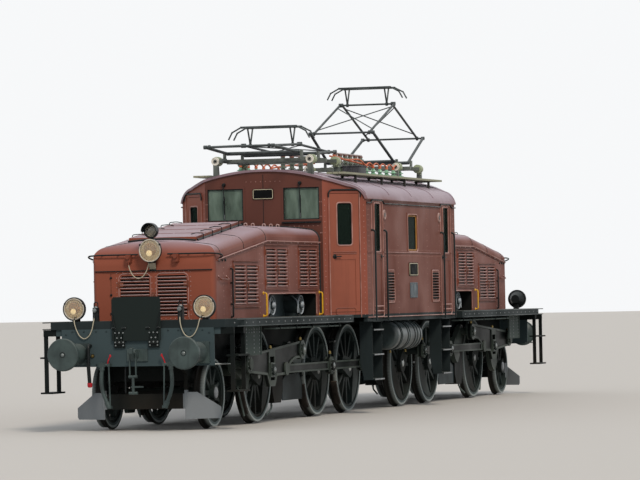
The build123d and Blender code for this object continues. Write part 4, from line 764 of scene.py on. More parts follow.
def glazeLamp(name, number, way, lamp, side):  # the small upper lamp stays dark behind its lens
    r = lamp["radius"]
    centre = at(way, lamp["at"], side * lamp["across"], lamp["height"])
    outward = Vector((way, 0, 0))
    lens = turned([
        (0, 0.022), (0.35 * r, 0.0205), (0.65 * r, 0.0165), (0.87 * r, 0.011), (0.985 * r, 0.005),
        (0.985 * r, 0.001), (0.6 * r, 0.0105), (0, 0.0145)], centre, outward, 40)
    body, large = f"truck_{number}", lamp["radius"] > 0.1
    finish(join(f"lens{name}{number}", [lens]), body, "pressedLensGlass", "window_glass")
    if large:
        fillLamp(f"{name}{number}", body, centre, outward, r)
    ring = turned([
        (0.97 * r, 0.001), (0.97 * r, 0.0165), (1.02 * r, 0.0205), (1.08 * r, 0.0165), (1.08 * r, 0.001),
        (0.97 * r, 0.001)], centre, outward, 40)
    catches = [plate((-0.006, -0.013, r * 1.02), (0.02, 0.013, r * 1.2), 0.002) for _ in range(3)]
    for k, catch in enumerate(catches):
        catch.data.transform(Matrix.Rotation(math.radians(60 + 120 * k), 4, "X"))
        if way < 0:
            catch.data.transform(Matrix.Rotation(math.pi, 4, "Z"))
        catch.data.transform(Matrix.Translation(centre))
    finish(join(f"rim{name}{number}", [ring]), body, "lampRim" if large else "blackEnamel", "lamp_body")
    finish(join(f"catches{name}{number}", catches), body, "blackEnamel", "lamp_body")


# bowl, shade and bulb paint what the lens shows: reflections and a highlight
def fillLamp(name, body, centre, outward, r):  # bowl, shade and bulb
    bowl = turned([
        (0, -0.0045), (0.5 * r, -0.0048), (0.97 * r, -0.0052), (0.97 * r, -0.0058), (0, -0.0058)], centre,
        outward, 32)
    finish(join(f"bowl{name}", [bowl]), body, "silveredReflector", "lamp_body")
    shade = turned([
        (0, 0.0015), (0.35 * r, 0.0012), (0.62 * r, -0.003), (0.62 * r, -0.0055), (0, -0.0055)],
        centre + upBy(0.1 * r), outward, 28)
    finish(join(f"shade{name}", [shade]), body, "warmReflector", "lamp_body")
    bulb = turned([
        (0, 0.0062), (0.12 * r, 0.0055), (0.25 * r, 0.003), (0.31 * r, -0.002), (0, -0.002)],
        centre + Vector((0, 0.1 * r, -0.22 * r)), outward, 20)
    finish(join(f"bulb{name}", [bulb]), body, "glowingBulbHighlight", "lamp_body")


for number, way in trucks:
    for side, word in flanks:
        glazeLamp(f"Deck{word.title()}", number, way, deckLamp, side)
    glazeLamp("Brow", number, way, browLamp, 0)
    glazeLamp("Small", number, way, smallLamp, 0)
print("lamps glazed")


# Buffer beam: brackets and hinges of the fall plate, sockets, cocks, bolts and pipes

beam = {"face": 9.11, "bracketAcross": 0.25, "boltRadius": 0.013, "cockAcross": 0.42}


def fitBeam(number, way):
    body = f"truck_{number}"
    face = beam["face"]
    black, bolts, bright, red, brass, steel = [], [], [], [], [], []

    def boltOn(place, reach):  # a bolt where the line from outside meets the beam's face, nowhere else
        spot = strike(f"truck_frame_{number}", place, (-way, 0, 0))
        if spot and abs(spot[0].x - way * face) < reach:
            bolts.append(spot)

    for side, _ in flanks:
        pos = onFlank(way, side)
        y = side * beam["bracketAcross"]
        # socket of the deck lamp: loop handle, cover hinge and cable gland
        head = pos(9.048, 0.62, 1.69)
        black.append(pipe([
            head + Vector((0, -0.028, -0.01)), head + Vector((0, -0.028, 0.075)),
            head + Vector((0, 0.028, 0.075)), head + Vector((0, 0.028, -0.01))], 0.007, 0.025))
        steel.append(turned([
            (0, 0.02), (0.016, 0.018), (0.03, 0.008), (0.032, 0.0), (0, 0.0)], head, (0, 0, 1), 16))
        steel.append(turned([
            (0, 0.02), (0.018, 0.02), (0.022, 0.012), (0.03, 0.01), (0.03, 0), (0, 0)],
            head + Vector((way * 0.062, 0, -0.04)), (way, 0, 0), 16))
        # buffer face: turned centre and ring
        nose = pos(9.73, 0.875, 1.05)
        ring = turned([
            (0.032, -0.004), (0.032, 0.0025), (0.036, 0.0035), (0.04, 0.0025), (0.04, -0.004)], nose,
            (way, 0, 0), 32)
        steel.append(turned([(0, 0.006), (0.012, 0.005), (0.02, 0.0), (0, 0.0)], nose, (way, 0, 0), 16))
        black.append(ring)
        black.append(roundPlate(at(way, face + 0.036, y, 1.27), 0.16, 0.012, 0.185, (way, 0), 0.02))
        for dy in (-0.058, 0.0, 0.058):
            for h in (1.205, 1.335):
                bright.append((at(way, face + 0.042, y + dy, h), (way, 0, 0)))
        for dy, h in ((-0.03, 1.265), (0.03, 1.265), (-0.055, 1.16), (0.055, 1.16)):
            bright.append((at(way, face + 0.042 if h > 1.2 else face + 0.034, y + dy, h), (way, 0, 0)))
        for dy in (-0.075, 0.075):  # hinge barrels and their ties
            black.append(pipe([
                at(way, face + 0.052, y + dy - 0.022, 1.40), at(way, face + 0.052, y + dy + 0.022, 1.40)],
                0.016, sides=12))
            steel.append(pipe([
                at(way, face + 0.052, y + dy - 0.028, 1.40), at(way, face + 0.052, y + dy + 0.028, 1.40)],
                0.007, sides=8))
        black.append(pipe([
            at(way, face + 0.05, y + side * 0.1, 1.62), at(way, face + 0.06, y + side * 0.06, 1.42),
            at(way, face + 0.045, y + side * 0.02, 1.27)], 0.007, 0.03))
        for dy in (-0.17, 0.17):  # bolts round the buffer's foot
            for h in (0.92, 1.18, 1.32):
                boltOn(pos(face + 0.5, 0.875 + dy, h), 0.05)
        # the brake cock's handle, red at its grip
        y = side * beam["cockAcross"]
        steel.append(turned([
            (0, 0.02), (0.018, 0.016), (0.02, 0.0), (0.02, -0.02), (0, -0.02)],
            at(way, face + 0.055, y, 0.895), (way, 0, 0), 16))
        red.append(pipe([
            at(way, face + 0.062, y, 0.897), at(way, face + 0.072, y - side * 0.01, 0.95),
            at(way, face + 0.075, y - side * 0.045, 1.02)], 0.0095, 0.02))
        red.append(turned([
            (0, 0.022), (0.012, 0.016), (0.016, 0.0), (0.012, -0.016), (0, -0.02)],
            at(way, face + 0.075, y - side * 0.045, 1.02), (0, 0, 1), 12))
        # small pipe from the beam to the front steps
        steel.append(pipe([
            pos(face - 0.02, 1.06, 0.885), pos(9.0, 1.2, 0.885), pos(8.86, 1.272, 0.885)], 0.011, 0.06))
        brass.append(turned([
            (0, 0.03), (0.016, 0.026), (0.024, 0.01), (0.024, 0.0), (0.03, 0.0), (0.03, -0.006),
            (0, -0.006)], pos(face, 0.66, 1.02), (way, 0, 0), 16))
    for y in (-0.95, -0.78, -0.6, -0.45, 0.45, 0.6, 0.78, 0.95):  # bolts along the beam's foot and head
        for h in (0.90, 1.36):
            boltOn(at(way, face + 0.5, y, h), 0.02)
    black.append(pipe([
        at(way, face - 0.06, 0.2, 0.92), at(way, face - 0.05, 0.2, 0.80), at(way, face - 0.05, 0.2, 0.5)],
        0.012, 0.03))
    # bent heating pipe at one side of the beam, its end closed by a red cap
    black.append(pipe([
        at(way, face - 0.01, 0.69, 1.16), at(way, face + 0.09, 0.69, 1.18),
        at(way, face + 0.10, 0.69, 0.90), at(way, face + 0.07, 0.685, 0.64)], 0.026, 0.06, sides=14))
    red.append(turned([
        (0, 0.0), (0.026, 0.004), (0.034, 0.02), (0.036, 0.05), (0.034, 0.066), (0, 0.066)],
        at(way, face + 0.066, 0.684, 0.585), (0, 0, 1), 18))
    finishAll(body, number, (
        ("fallPlateBrackets", black, "blackEnamel", "frame_paint"),
        ("beamBolts", bolts, "beamPaint", "frame_paint", beam["boltRadius"], boltHead),
        ("bracketBolts", bright, "wornSteel", "shaft_steel", 0.0125, boltHead),
        ("cockHandles", red, "signalRed", "red_paint"),
        ("beamPipes", steel, "wornSteel", "shaft_steel"),
        ("airPlugs", brass, "wornBrass", "copper"),
    ))


for number, way in trucks:
    fitBeam(number, way)
print("beams fitted")


# Hood: rivets, seams, hatch handles, door furniture, grab bars and the forehead rail

hoodFit = {
    "knee": 6.0, "nose": 8.38, "halfWidth": 0.905, "slope": 0.1196, "rivet": 0.0085,
    "grabBars": (6.15, 3.33), "barRadius": 0.0115}
louvreDoors = ((7.56, 6.40, 1.67, 2.29), (6.06, 4.95, 1.91, 2.53), (4.392, 3.422, 1.91, 2.53))


def droop(u):  # how far the hood's line has come down at a place past the knee
    return hoodFit["slope"] * max(0.0, u - hoodFit["knee"])


louvre = {
    "pitch": 0.051, "rows": 11, "margin": 0.055, "gap": 0.042, "lipHeight": 0.010, "noseLipHeight": 0.008,
    "lipProud": 0.016}


# one column of pressed lips, along X, its face at y 0 and its first slot at z 0
def lipColumn(length, rows, pitch, height):
    clearSelection()
    bpy.ops.mesh.primitive_cube_add(size=1, location=(0, -louvre["lipProud"] / 2, -0.009 - height / 2))
    lip = bpy.context.object
    lip.scale = (length, louvre["lipProud"], height)
    settle(lip)
    useMode("EDIT")
    mesh = bmesh.from_edit_mesh(lip.data)
    for v in mesh.verts:  # the lip's foot runs back into the sheet
        v.select_set(v.co.y < -0.001 and v.co.z > -0.009 - height / 2)
    bmesh.update_edit_mesh(lip.data)
    bpy.ops.transform.translate(value=(0, 0.004, -0.002))
    useMode("OBJECT")
    useModifier(lip, "BEVEL", width=0.0022, segments=2, limit_method="ANGLE")
    useModifier(
        lip, "ARRAY", count=rows, use_relative_offset=False, use_constant_offset=True,
        constant_offset_displace=(0, 0, pitch))
    return lip


def fitLips(number, way):
    lips = []
    for outer, inner, low, _ in louvreDoors:
        middle = (outer + inner) / 2
        ends = (
            (outer - louvre["margin"], middle + louvre["gap"]),
            (middle - louvre["gap"], inner + louvre["margin"]))
        column = lipColumn(ends[0][0] - ends[0][1], louvre["rows"], louvre["pitch"], louvre["lipHeight"])
        for a, b in ends:
            for side, _ in flanks:
                lip = copyOf(column, (0, 0, 0))
                if side > 0:
                    lip.data.transform(Matrix.Rotation(math.pi, 4, "Z"))
                lip.data.transform(Matrix.Translation(at(
                    way, (a + b) / 2, side * (hoodFit["halfWidth"] + 0.009), low + louvre["margin"])))
                lips.append(lip)
        bpy.data.objects.remove(column)
    pitch = (2.135 - 1.56) / 12
    column = lipColumn(0.43, 12, pitch, louvre["noseLipHeight"])
    for side, _ in flanks:
        lip = copyOf(column, (0, 0, 0))
        lip.data.transform(Matrix.Rotation(way * math.pi / 2, 4, "Z"))
        lip.data.transform(Matrix.Translation(at(way, hoodFit["nose"], side * 0.275, 1.56 + 0.008 + 0.013)))
        lips.append(lip)
    bpy.data.objects.remove(column)
    finish(join(f"louvreLips{number}", lips), f"truck_{number}", "dustyLipWithHighlights", "red_paint")


def fitHood(number, way):
    body, node = f"truck_{number}", f"hood_{number}"
    half = hoodFit["halfWidth"]
    rivets, bolts, pale, strips, bars, yellow, latches, ribs, seams, eyes = ([] for _ in range(10))
    above, ahead, beside = 3.4, 8.9, 1.6  # where the test lines start, outside the hood

    def fromAbove(u, y):
        return strike(node, at(way, u, y, above), (0, 0, -1))

    def fromFront(y, h):
        return strike(node, at(way, ahead, y, h), (-way, 0, 0))

    def fromSide(u, side, h):
        return strike(node, at(way, u, side * beside, h), (0, -side, 0))

    def topRow(u0, y0, u1, y1, count):
        return rowOn(node, at(way, u0, y0, above), at(way, u1, y1, above), count, (0, 0, -1))

    def noseRow(y0, h0, y1, h1, count):
        return rowOn(node, at(way, ahead, y0, h0), at(way, ahead, y1, h1), count, (-way, 0, 0))

    for side, _ in flanks:
        pos = onFlank(way, side)

        def flank(u, h, out=0.0):
            return pos(u, half + out, h)

        def sideRow(u0, h0, u1, h1, count):
            return rowOn(node, pos(u0, beside, h0), pos(u1, beside, h1), count, (0, -side, 0))

        # rivet columns: behind the front corner, at the knee, by the middle and at the tail
        for u, low, high, count in (
                (6.2, 1.86, 2.5, 6), (6.31, 1.56, 2.5, 12), (7.66, 1.56, 2.33, 10), (8.0, 1.56, 2.3, 10),
                (4.86, 1.88, 2.5, 8), (4.49, 1.88, 2.5, 8), (3.32, 1.56, 2.55, 13)):
            rivets += sideRow(u, low, u, high, count)
        rivets += sideRow(8.0, 1.47, 6.0, 1.47, 34)
        rivets += sideRow(8.08, 2.555 - droop(8.08), 6.0, 2.555, 36)
        rivets += sideRow(6.0, 2.555, 3.3, 2.555, 46)
        # louvre doors: drip strip over the head, lip at the foot, hinges, latch and handle bar
        for outer, inner, low, high in louvreDoors:
            strips.append(plate(
                pos(outer + 0.02, half + 0.006, high + 0.012),
                pos(inner - 0.02, half + 0.03, high + 0.022), 0.003))
            strips.append(plate(
                pos(outer + 0.01, half + 0.004, low - 0.022),
                pos(inner - 0.01, half + 0.019, low - 0.01), 0.003))
            middle, mean = (outer + inner) / 2, (low + high) / 2
            for u in (outer - 0.012, inner + 0.012):
                for h in (low + 0.09, high - 0.09):
                    latches.append(pipe([
                        flank(u, h - 0.035, 0.014), flank(u, h + 0.035, 0.014)], 0.0105, sides=10))
                    latches.append(pipe([
                        flank(u, h - 0.043, 0.014), flank(u, h + 0.043, 0.014)], 0.006, sides=8))
            latches.append(roundPlate(flank(middle, mean, 0.014), 0.045, 0.012, 0.12, (0, side), 0.012))
            latches.append(pipe([
                flank(middle, mean + 0.02, 0.018), flank(middle, mean + 0.02, 0.044),
                flank(middle, mean - 0.11, 0.044)], 0.0075, 0.015))
            for d, dh in ((-0.012, -0.045), (-0.012, 0.045), (0.012, -0.045), (0.012, 0.045)):
                bolts.append((flank(middle + d, mean + dh, 0.0195), (0, side, 0)))
            for u in (outer - 0.05, inner + 0.05):
                for k in range(6):
                    spot = fromSide(u, side, low + 0.04 + k * (high - low - 0.08) / 5)
                    if spot:
                        rivets.append(spot)
        for u in hoodFit["grabBars"]:
            yellow.append(pipe([
                flank(u, 1.52), flank(u, 1.52, 0.05), flank(u, 1.85, 0.05), flank(u, 1.85)],
                hoodFit["barRadius"], 0.025))
            for h in (1.52, 1.85):
                rose = ((0, 0.007), (0.022, 0.006), (0.025, 0.0), (0, 0.0))
                yellow.append(turned(rose, flank(u, h), (0, side, 0), 14))
        # the upright rod beside the front louvres, its knob bright
        bars.append(pipe([
            flank(7.68, 1.52), flank(7.68, 1.52, 0.035), flank(7.68, 2.2, 0.035), flank(7.68, 2.2)], 0.012,
            0.02))
        for h in (1.7, 2.0):
            bars.append(plate(pos(7.695, half, h - 0.012), pos(7.665, half + 0.045, h + 0.012), 0.003))
        # level handle near the corner, held by two bolts, and the catch above it
        latches.append(pipe([
            flank(8.22, 2.09), flank(8.22, 2.05, 0.04), flank(7.86, 2.05, 0.04), flank(7.86, 2.09)], 0.0095,
            0.02))
        pale += [(flank(u, 2.095, 0.0), (0, side, 0)) for u in (8.22, 7.86)]
        for u in (8.2, 8.06, 7.92):
            bars.append(turned([
                (0, 0.02), (0.014, 0.018), (0.02, 0.006), (0.022, 0), (0, 0)], flank(u, 2.32), (0, side, 0),
                12))
        # bright rib along the gutter with its bolts, dark seams over the shoulder
        lift = Vector((0, side * 0.012, 0.008))
        ribs.append(pipe([
            pos(3.29, 0.921, 2.596) + lift, pos(6.0, 0.921, 2.596) + lift,
            pos(8.27, 0.921, 2.596 - droop(8.27)) + lift], 0.0075, sides=8))
        for k in range(15):
            u = 3.4 + k * 0.345
            pale.append((pos(u, 0.921, 2.588 - droop(u)), (0, side, 0)))
        for u in (6.0, 7.05, 8.12):
            seam = [fromSide(u, side, h - droop(u)) for h in (2.615, 2.66, 2.70, 2.74)]
            seam += [fromAbove(u, side * y) for y in (0.84, 0.78, 0.68, 0.56, 0.515)]
            seams.append(pipe(met(seam), 0.0065, sides=6))
        edge = [fromAbove(u, side * 0.515)[0] for u in (5.90, 6.0, 6.5, 7.0, 7.5, 7.93)]
        seams.append(pipe([p + Vector((0, -side * 0.006, 0.010)) for p in edge], 0.018, sides=8))
        # hatch clamps: up the side of the hatch and over its edge
        for u in (7.72, 7.3, 6.88, 6.46, 6.08):
            foot = fromAbove(u, side * 0.53)[0]
            lid = fromAbove(u, side * 0.47)[0]
            bars.append(pipe([
                foot, foot + upBy(lid.z - foot.z + 0.02), lid + Vector((0, -side * 0.05, 0.028)),
                lid + Vector((-way * 0.02, -side * 0.13, 0.012))], 0.0065, 0.02))
    # hatch: cross seams, edge bolts and bent handles
    for u in (7.45, 6.92, 6.4):
        for y0, y1 in ((-0.49, 0.0), (0.0, 0.49)):
            a, b = fromAbove(u, y0 + 0.01), fromAbove(u, y1 - 0.01)
            if a and b:
                strips.append(pipe([a[0], fromAbove(u, (y0 + y1) / 2)[0], b[0]], 0.006, sides=6))
    # black collar round the tail, where the hood meets the cab
    levels, tail = (1.52, 2.3, 2.68, 2.74), 3.292
    collar = [fromSide(tail, -1, h)[0] for h in levels]
    collar += [fromAbove(tail, y)[0] for y in (-0.86, -0.8, -0.6, -0.3, 0, 0.3, 0.6, 0.8, 0.86)]
    collar += [fromSide(tail, 1, h)[0] for h in reversed(levels)]
    seams.append(pipe(collar, 0.020, sides=8))
    # brow seam and the loops of the lifting eyes along the crest
    brow = [fromAbove(8.12, y)[0] for y in (-0.86, -0.78, -0.5, 0, 0.5, 0.78, 0.86)]
    seams.append(pipe(brow, 0.007, sides=6))
    for u in (3.5, 3.85, 4.2, 4.75, 5.1, 5.45):
        for y in (-0.32, 0.32):
            foot = fromAbove(u, y)[0]
            eyes.append(pipe([
                foot + Vector((0, -0.022, 0)), foot + Vector((0, -0.022, 0.036)),
                foot + Vector((0, 0.022, 0.036)), foot + Vector((0, 0.022, 0))], 0.0055, 0.016))
    for side, _ in flanks:
        rivets += topRow(7.9, side * 0.47, 5.95, side * 0.47, 24)
        for u in (7.2, 6.0, 5.86, 4.6, 4.4, 3.35):
            rivets += topRow(u, side * 0.56, u, side * 0.84, 7)
    for u in (5.4, 4.5):
        rivets += topRow(u, -0.5, u, 0.5, 14)
    # nose: rivets beside the grilles, the middle post with its latch, hinges at the sides
    for y, low, high, count in (
            (-0.545, 1.5, 2.16, 11), (0.545, 1.5, 2.16, 11), (-0.026, 1.6, 2.1, 7), (0.026, 1.6, 2.1, 7)):
        rivets += noseRow(y, low, y, high, count)
    for h in (1.515, 2.175):
        rivets += noseRow(-0.52, h, 0.52, h, 16)
    post = fromFront(0.0, 1.82)[0]
    latches.append(roundPlate(post + Vector((way * 0.006, 0, 0)), 0.05, 0.012, 0.14, (way, 0), 0.012))
    latches.append(pipe([
        post + Vector((way * 0.01, 0, 0.03)), post + Vector((way * 0.045, 0, 0.03)),
        post + Vector((way * 0.045, 0, -0.1))], 0.008, 0.015))
    for side, _ in flanks:
        for h in (1.68, 2.0):
            hinge = fromFront(side * 0.515, h)[0] + Vector((way * 0.008, 0, 0))
            latches.append(pipe([hinge - upBy(0.045), hinge + upBy(0.045)], 0.0115, sides=10))
            latches.append(plate(
                hinge + Vector((0, -side * 0.004, -0.03)),
                hinge + Vector((way * 0.004, -side * 0.07, 0.03)), 0.002))
    # edge of the nose's door beside the grille, with its small catches
    edge = [fromFront(0.63, h) for h in (1.52, 1.8, 2.16)]
    latches.append(pipe(met(edge), 0.006, sides=6))
    for h in (1.6, 1.86, 2.1):
        spot = fromFront(0.63, h)
        if spot:
            bars.append(turned([
                (0, 0.02), (0.012, 0.018), (0.017, 0.006), (0.019, 0), (0, 0)], spot[0], (way, 0, 0), 12))
    # pale frame with round corners over each grille
    frames = []
    for side, _ in flanks:
        corners = ((0.042, 1.53), (0.042, 2.152), (0.512, 2.152), (0.512, 1.53))
        frames.append(pipe([at(way, 8.383, side * y, h) for y, h in corners], 0.006, 0.07, sides=8))
    finish(join(f"grilleFrames{number}", frames), body, "dustyLipWithHighlights", "red_paint")
    # rail over the brow: two halves that end beside the lamp and turn back round the corners
    for side, _ in flanks:
        spots = [
            (0.22, 8.40, 2.42), (0.80, 8.40, 2.42), (0.985, 8.36, 2.41), (0.985, 8.22, 2.37),
            (0.90, 8.18, 2.345)]
        bars.append(pipe([at(way, u, side * y, h) for y, u, h in spots], 0.0115, 0.07, steps=6))
        for y in (0.26, 0.52, 0.76):
            foot = fromFront(side * y, 2.42)
            if foot:
                bars.append(pipe([foot[0], at(way, 8.40, side * y, 2.42)], 0.008))
    front = [fromAbove(7.985, y) for y in (-0.5, -0.25, 0.0, 0.25, 0.5)]
    seams.append(pipe([p + upBy(0.010) for p in met(front)], 0.017, sides=8))
    # seam strip across the forehead, held by short studs
    rail, legs = [], []
    for y in (-0.86, -0.6, -0.3, 0.3, 0.6, 0.86):
        spot = fromFront(y, 2.19)
        if spot:
            rail.append(spot[0] + Vector((way * 0.016, 0, 0.0)))
            legs.append((spot[0], spot[0] + Vector((way * 0.016, 0, 0.0))))
    if len(rail) > 1:
        bars.append(pipe(rail, 0.008, 0.03))
        bars += [pipe([a, b], 0.008) for a, b in legs]
    finishAll(body, number, (
        ("hoodRivets", rivets, "rubbedRed", "red_paint", hoodFit["rivet"], rivetHead),
        ("latchBolts", bolts, "blackEnamel", "frame_paint", 0.006, boltHead),
        ("gutterBolts", pale, "paleRivet", "red_paint", 0.0115, rivetHead),
        ("gutterRibs", ribs, "rubbedRed", "red_paint"),
        ("hoodSeams", seams, "blackEnamel", "frame_paint"),
        ("crestEyes", eyes, "paleRivet", "red_paint"),
        ("doorStrips", strips, "redTrim", "red_paint"),
        ("hoodRails", bars, "blackEnamel", "frame_paint"),
        ("grabBars", yellow, "yellowEnamel", "red_paint"),
        ("latches", latches, "redTrim", "red_paint"),
    ))


for number, way in trucks:
    fitHood(number, way)
    fitLips(number, way)
print("hoods fitted")


# Cab: window trims, door glass, handles, drip strips, gutters, vents, grips, blank plates and wipers

cab = {
    "halfWidth": 1.475, "straight": 2.65, "end": 3.18, "endHalf": 0.93, "trim": 0.010, "rivet": 0.0075,
    "beltHeight": 2.44, "door": 2.055}


def wallOf(centre, along, out):
    return {"centre": Vector(centre), "along": Vector(along), "out": Vector(out)}


def onWall(wall, a, h, b=0.0):  # along the wall, above the rail, out of its face
    return wall["centre"] + wall["along"] * a + wall["out"] * b + upBy(h + railTop)


def wallPipe(wall, spots, radius, corner=0.0, sides=10):
    return pipe([onWall(wall, *spot) for spot in spots], radius, corner, sides)


def trimRound(wall, a, half, low, high, radius, out, corner):  # a beading that follows an opening's edge
    spots = [
        onWall(wall, a + da, h, out) for da, h in ((-half, low), (half, low), (half, high), (-half, high))]
    return pipe(spots, radius, corner, sides=8, steps=5, closed=True)


def paneIn(wall, a, half, low, high, out):
    p = onWall(wall, a, (low + high) / 2, out)
    return roundPlate(p, 2 * half + 0.006, 0.006, high - low + 0.006, wall["out"], 0.01, 0.001)


def arcOver(wall, a, half, high, drop, radius, out):  # drip strip over a door's head, its ends turned down
    foot = high - drop
    line = ((-half, foot), (-half, high), (half, high), (half, foot))
    return pipe([onWall(wall, a + da, h, out) for da, h in line], radius, 0.07, sides=8, steps=6)


def wallRow(node, wall, start, end, away, count):  # rivet places from one spot of a wall to another
    return rowOn(node, onWall(wall, *start, away), onWall(wall, *end, away), count, -wall["out"])


def dressDoor(name, wall, a, half, low, high, handleAt):
    front = strike(name, onWall(wall, a, low - 0.08, 1.0), -wall["out"])[0]
    out = (front - onWall(wall, a, low - 0.08)).dot(wall["out"])
    pane = paneIn(wall, a, half, low, high, out - 0.018)
    finish(join(f"pane_{name}", [pane]), name, "floatGlass", "window_glass")
    bead = trimRound(wall, a, half + 0.006, low - 0.006, high + 0.006, cab["trim"], out + 0.001, 0.045)
    finish(join(f"bead_{name}", [bead]), name, "rubbedRed", "red_paint")
    gasket = trimRound(wall, a, half - 0.004, low + 0.004, high - 0.004, 0.008, out - 0.012, 0.035)
    h = cab["beltHeight"] - 0.055
    rose = turned([
        (0, 0.012), (0.02, 0.011), (0.034, 0.004), (0.036, 0.0), (0, 0.0)],
        onWall(wall, a + handleAt, h, out), wall["out"], 20)
    shaft = wallPipe(
        wall, ((a + handleAt, h, out), (a + handleAt, h, out + 0.034),
        (a + handleAt * 0.45, h + 0.004, out + 0.034)), 0.0085, 0.012)
    finish(join(f"gasket_{name}", [gasket]), name, "blackEnamel", "frame_paint")
    finish(join(f"handle_{name}", [rose, shaft]), name, "blackEnamel", "copper")
    # low moulding, a flat rounded loop
    panel = trimRound(wall, a, 0.17, 1.50, 1.60, 0.006, out + 0.001, 0.035)
    edges = [wallPipe(
        wall, ((a - 0.2, h, out + 0.001), (a + 0.2, h, out + 0.001)), 0.006,
        sides=8) for h in (cab["beltHeight"] + 0.012, cab["beltHeight"] - 0.014)]
    finish(join(f"moulding_{name}", [panel] + edges), name, "redTrim", "red_paint")


def fitCab():
    trims, pale, black, rivets, wood, plates, borders, lips, grey, grips, vents, dark = (
        [] for _ in range(12))
    for side, word in flanks:
        wall = wallOf((0, side * cab["halfWidth"], 0), (1, 0, 0), (0, side, 0))
        node = f"side_wall_{word}"
        # middle window: pale beading outside, rubbed and with painted highlights, varnished sash inside
        trims.append(trimRound(wall, 0, 0.30, 2.47, 3.06, 0.011, 0.002, 0.06))
        wood.append(trimRound(wall, 0, 0.276, 2.494, 3.036, 0.013, -0.02, 0.03))
        # vents of the engine room: rounded frame and eleven lips
        for way in (-1, 1):
            centre = way * 1.345
            trims.append(trimRound(wall, centre, 0.215, 1.675, 2.175, 0.010, 0.004, 0.05))
            for k in range(11):
                h = 1.705 + k * 0.044
                lips.append(plate(
                    onWall(wall, centre - 0.19, h - 0.004), onWall(wall, centre + 0.19, h + 0.004, 0.013),
                    0.002))
            # round ventilator beside the door, high up
            vent = turned([
                (0, 0.004), (0.035, 0.004), (0.04, 0.012), (0.056, 0.012), (0.064, 0.02), (0.076, 0.014),
                (0.082, 0.0), (0, 0.0)], onWall(wall, way * 1.64, 3.03, 0.0), wall["out"], 28)
            vents.append(vent)
            black.append(turned([
                (0, 0.0145), (0.033, 0.0145), (0.036, 0.0035), (0, 0.0035)],
                onWall(wall, way * 1.64, 3.03, 0.0), wall["out"], 20))
            # door surround and drip strip, two short grips below the sill
            trims.append(trimRound(wall, way * cab["door"], 0.318, 1.46, 3.232, 0.008, 0.001, 0.06))
            black.append(arcOver(wall, way * cab["door"], 0.345, 3.252, 0.055, 0.0115, 0.012))
            left, right = way * cab["door"] - 0.2, way * cab["door"] + 0.2
            for h in (1.545, 1.62):
                grips.append(wallPipe(
                    wall, ((left, h, 0), (left, h, 0.03), (right, h, 0.03), (right, h, 0)), 0.010, 0.018))
            dressDoor(
                f"side_door_{word}_{1 if way < 0 else 2}", wall, way * cab["door"], 0.165, 2.46, 3.20,
                -way * 0.21)
        # rain gutter under the roof edge, with its rivets; lower moulding by the sill
        for a, b in ((-2.66, -2.45), (2.45, 2.66), (-1.66, 1.66)):
            black.append(wallPipe(wall, ((a, 3.205, 0.014), (b, 3.205, 0.014)), 0.010, sides=8))
        for reach, h, out, radius in (
                (2.64, 3.262, 0.006, 0.008), (1.7, 2.452, 0.009, 0.0055), (2.64, 1.455, 0.004, 0.007)):
            trims.append(wallPipe(wall, ((-reach, h, out), (reach, h, out)), radius, sides=8))
        for a, low, high, count in (
                (-2.58, 1.5, 3.18, 22), (-2.52, 1.5, 3.18, 22), (2.58, 1.5, 3.18, 22),
                (-1.63, 1.5, 2.9, 18), (1.63, 1.5, 2.9, 18), (-0.88, 1.5, 3.18, 20), (0.88, 1.5, 3.18, 20),
                (2.52, 1.5, 3.18, 22)):
            rivets += wallRow(node, wall, (a, low), (a, high), 1.0, count)
        for h in (1.49, 2.40, 2.485, 3.19):
            rivets += wallRow(node, wall, (-1.6, h), (1.6, h), 1.0, 40)
        # blank plates: dark enamel with a pale border, and a cast one below it
        plates.append(roundPlate(onWall(wall, 0, 2.19, 0.006), 0.52, 0.010, 0.21, wall["out"], 0.02))
        borders.append(trimRound(wall, 0, 0.246, 2.099, 2.281, 0.005, 0.011, 0.02))
        grey.append(roundPlate(onWall(wall, 0, 1.86, 0.006), 0.42, 0.012, 0.24, wall["out"], 0.012))
        grey.append(trimRound(wall, 0, 0.196, 1.754, 1.966, 0.006, 0.012, 0.01))
        rivets += [
            (onWall(wall, a, h, 0.012), wall["out"]) for a in (-0.175, 0.175) for h in (1.775, 1.945)]
    for number, way in trucks:
        end = wallOf((way * cab["end"], 0, 0), (0, 1, 0), (way, 0, 0))
        node = f"end_wall_{number}"
        for side, word in flanks:
            # end window: gasket, beading, sill ledge and wiper
            y = side * 0.605
            black.append(trimRound(end, y, 0.281, 2.964, 3.446, 0.011, -0.004, 0.012))
            dark.append(trimRound(end, y, 0.300, 2.944, 3.466, 0.006, 0.002, 0.03))
            black.append(plate(
                onWall(end, y - 0.31, 2.905, 0.0), onWall(end, y + 0.31, 2.925, 0.035), 0.004))
            pivot = onWall(end, y + 0.02, 3.515, 0.0)
            black.append(turned([
                (0, 0.05), (0.02, 0.045), (0.026, 0.03), (0.03, 0.0), (0, 0.0)], pivot, end["out"], 16))
            black.append(wallPipe(
                end, ((y + 0.02, 3.515, 0.04), (y + 0.012, 3.25, 0.035), (y + 0.01, 3.06, 0.022)), 0.008,
                0.03))
            black.append(plate(
                onWall(end, y + 0.002, 2.985, 0.009), onWall(end, y + 0.02, 3.33, 0.022), 0.003))
            pale.append(wallPipe(
                end, ((y + 0.011, 2.99, 0.0245), (y + 0.011, 3.325, 0.0245)), 0.0035, sides=6))
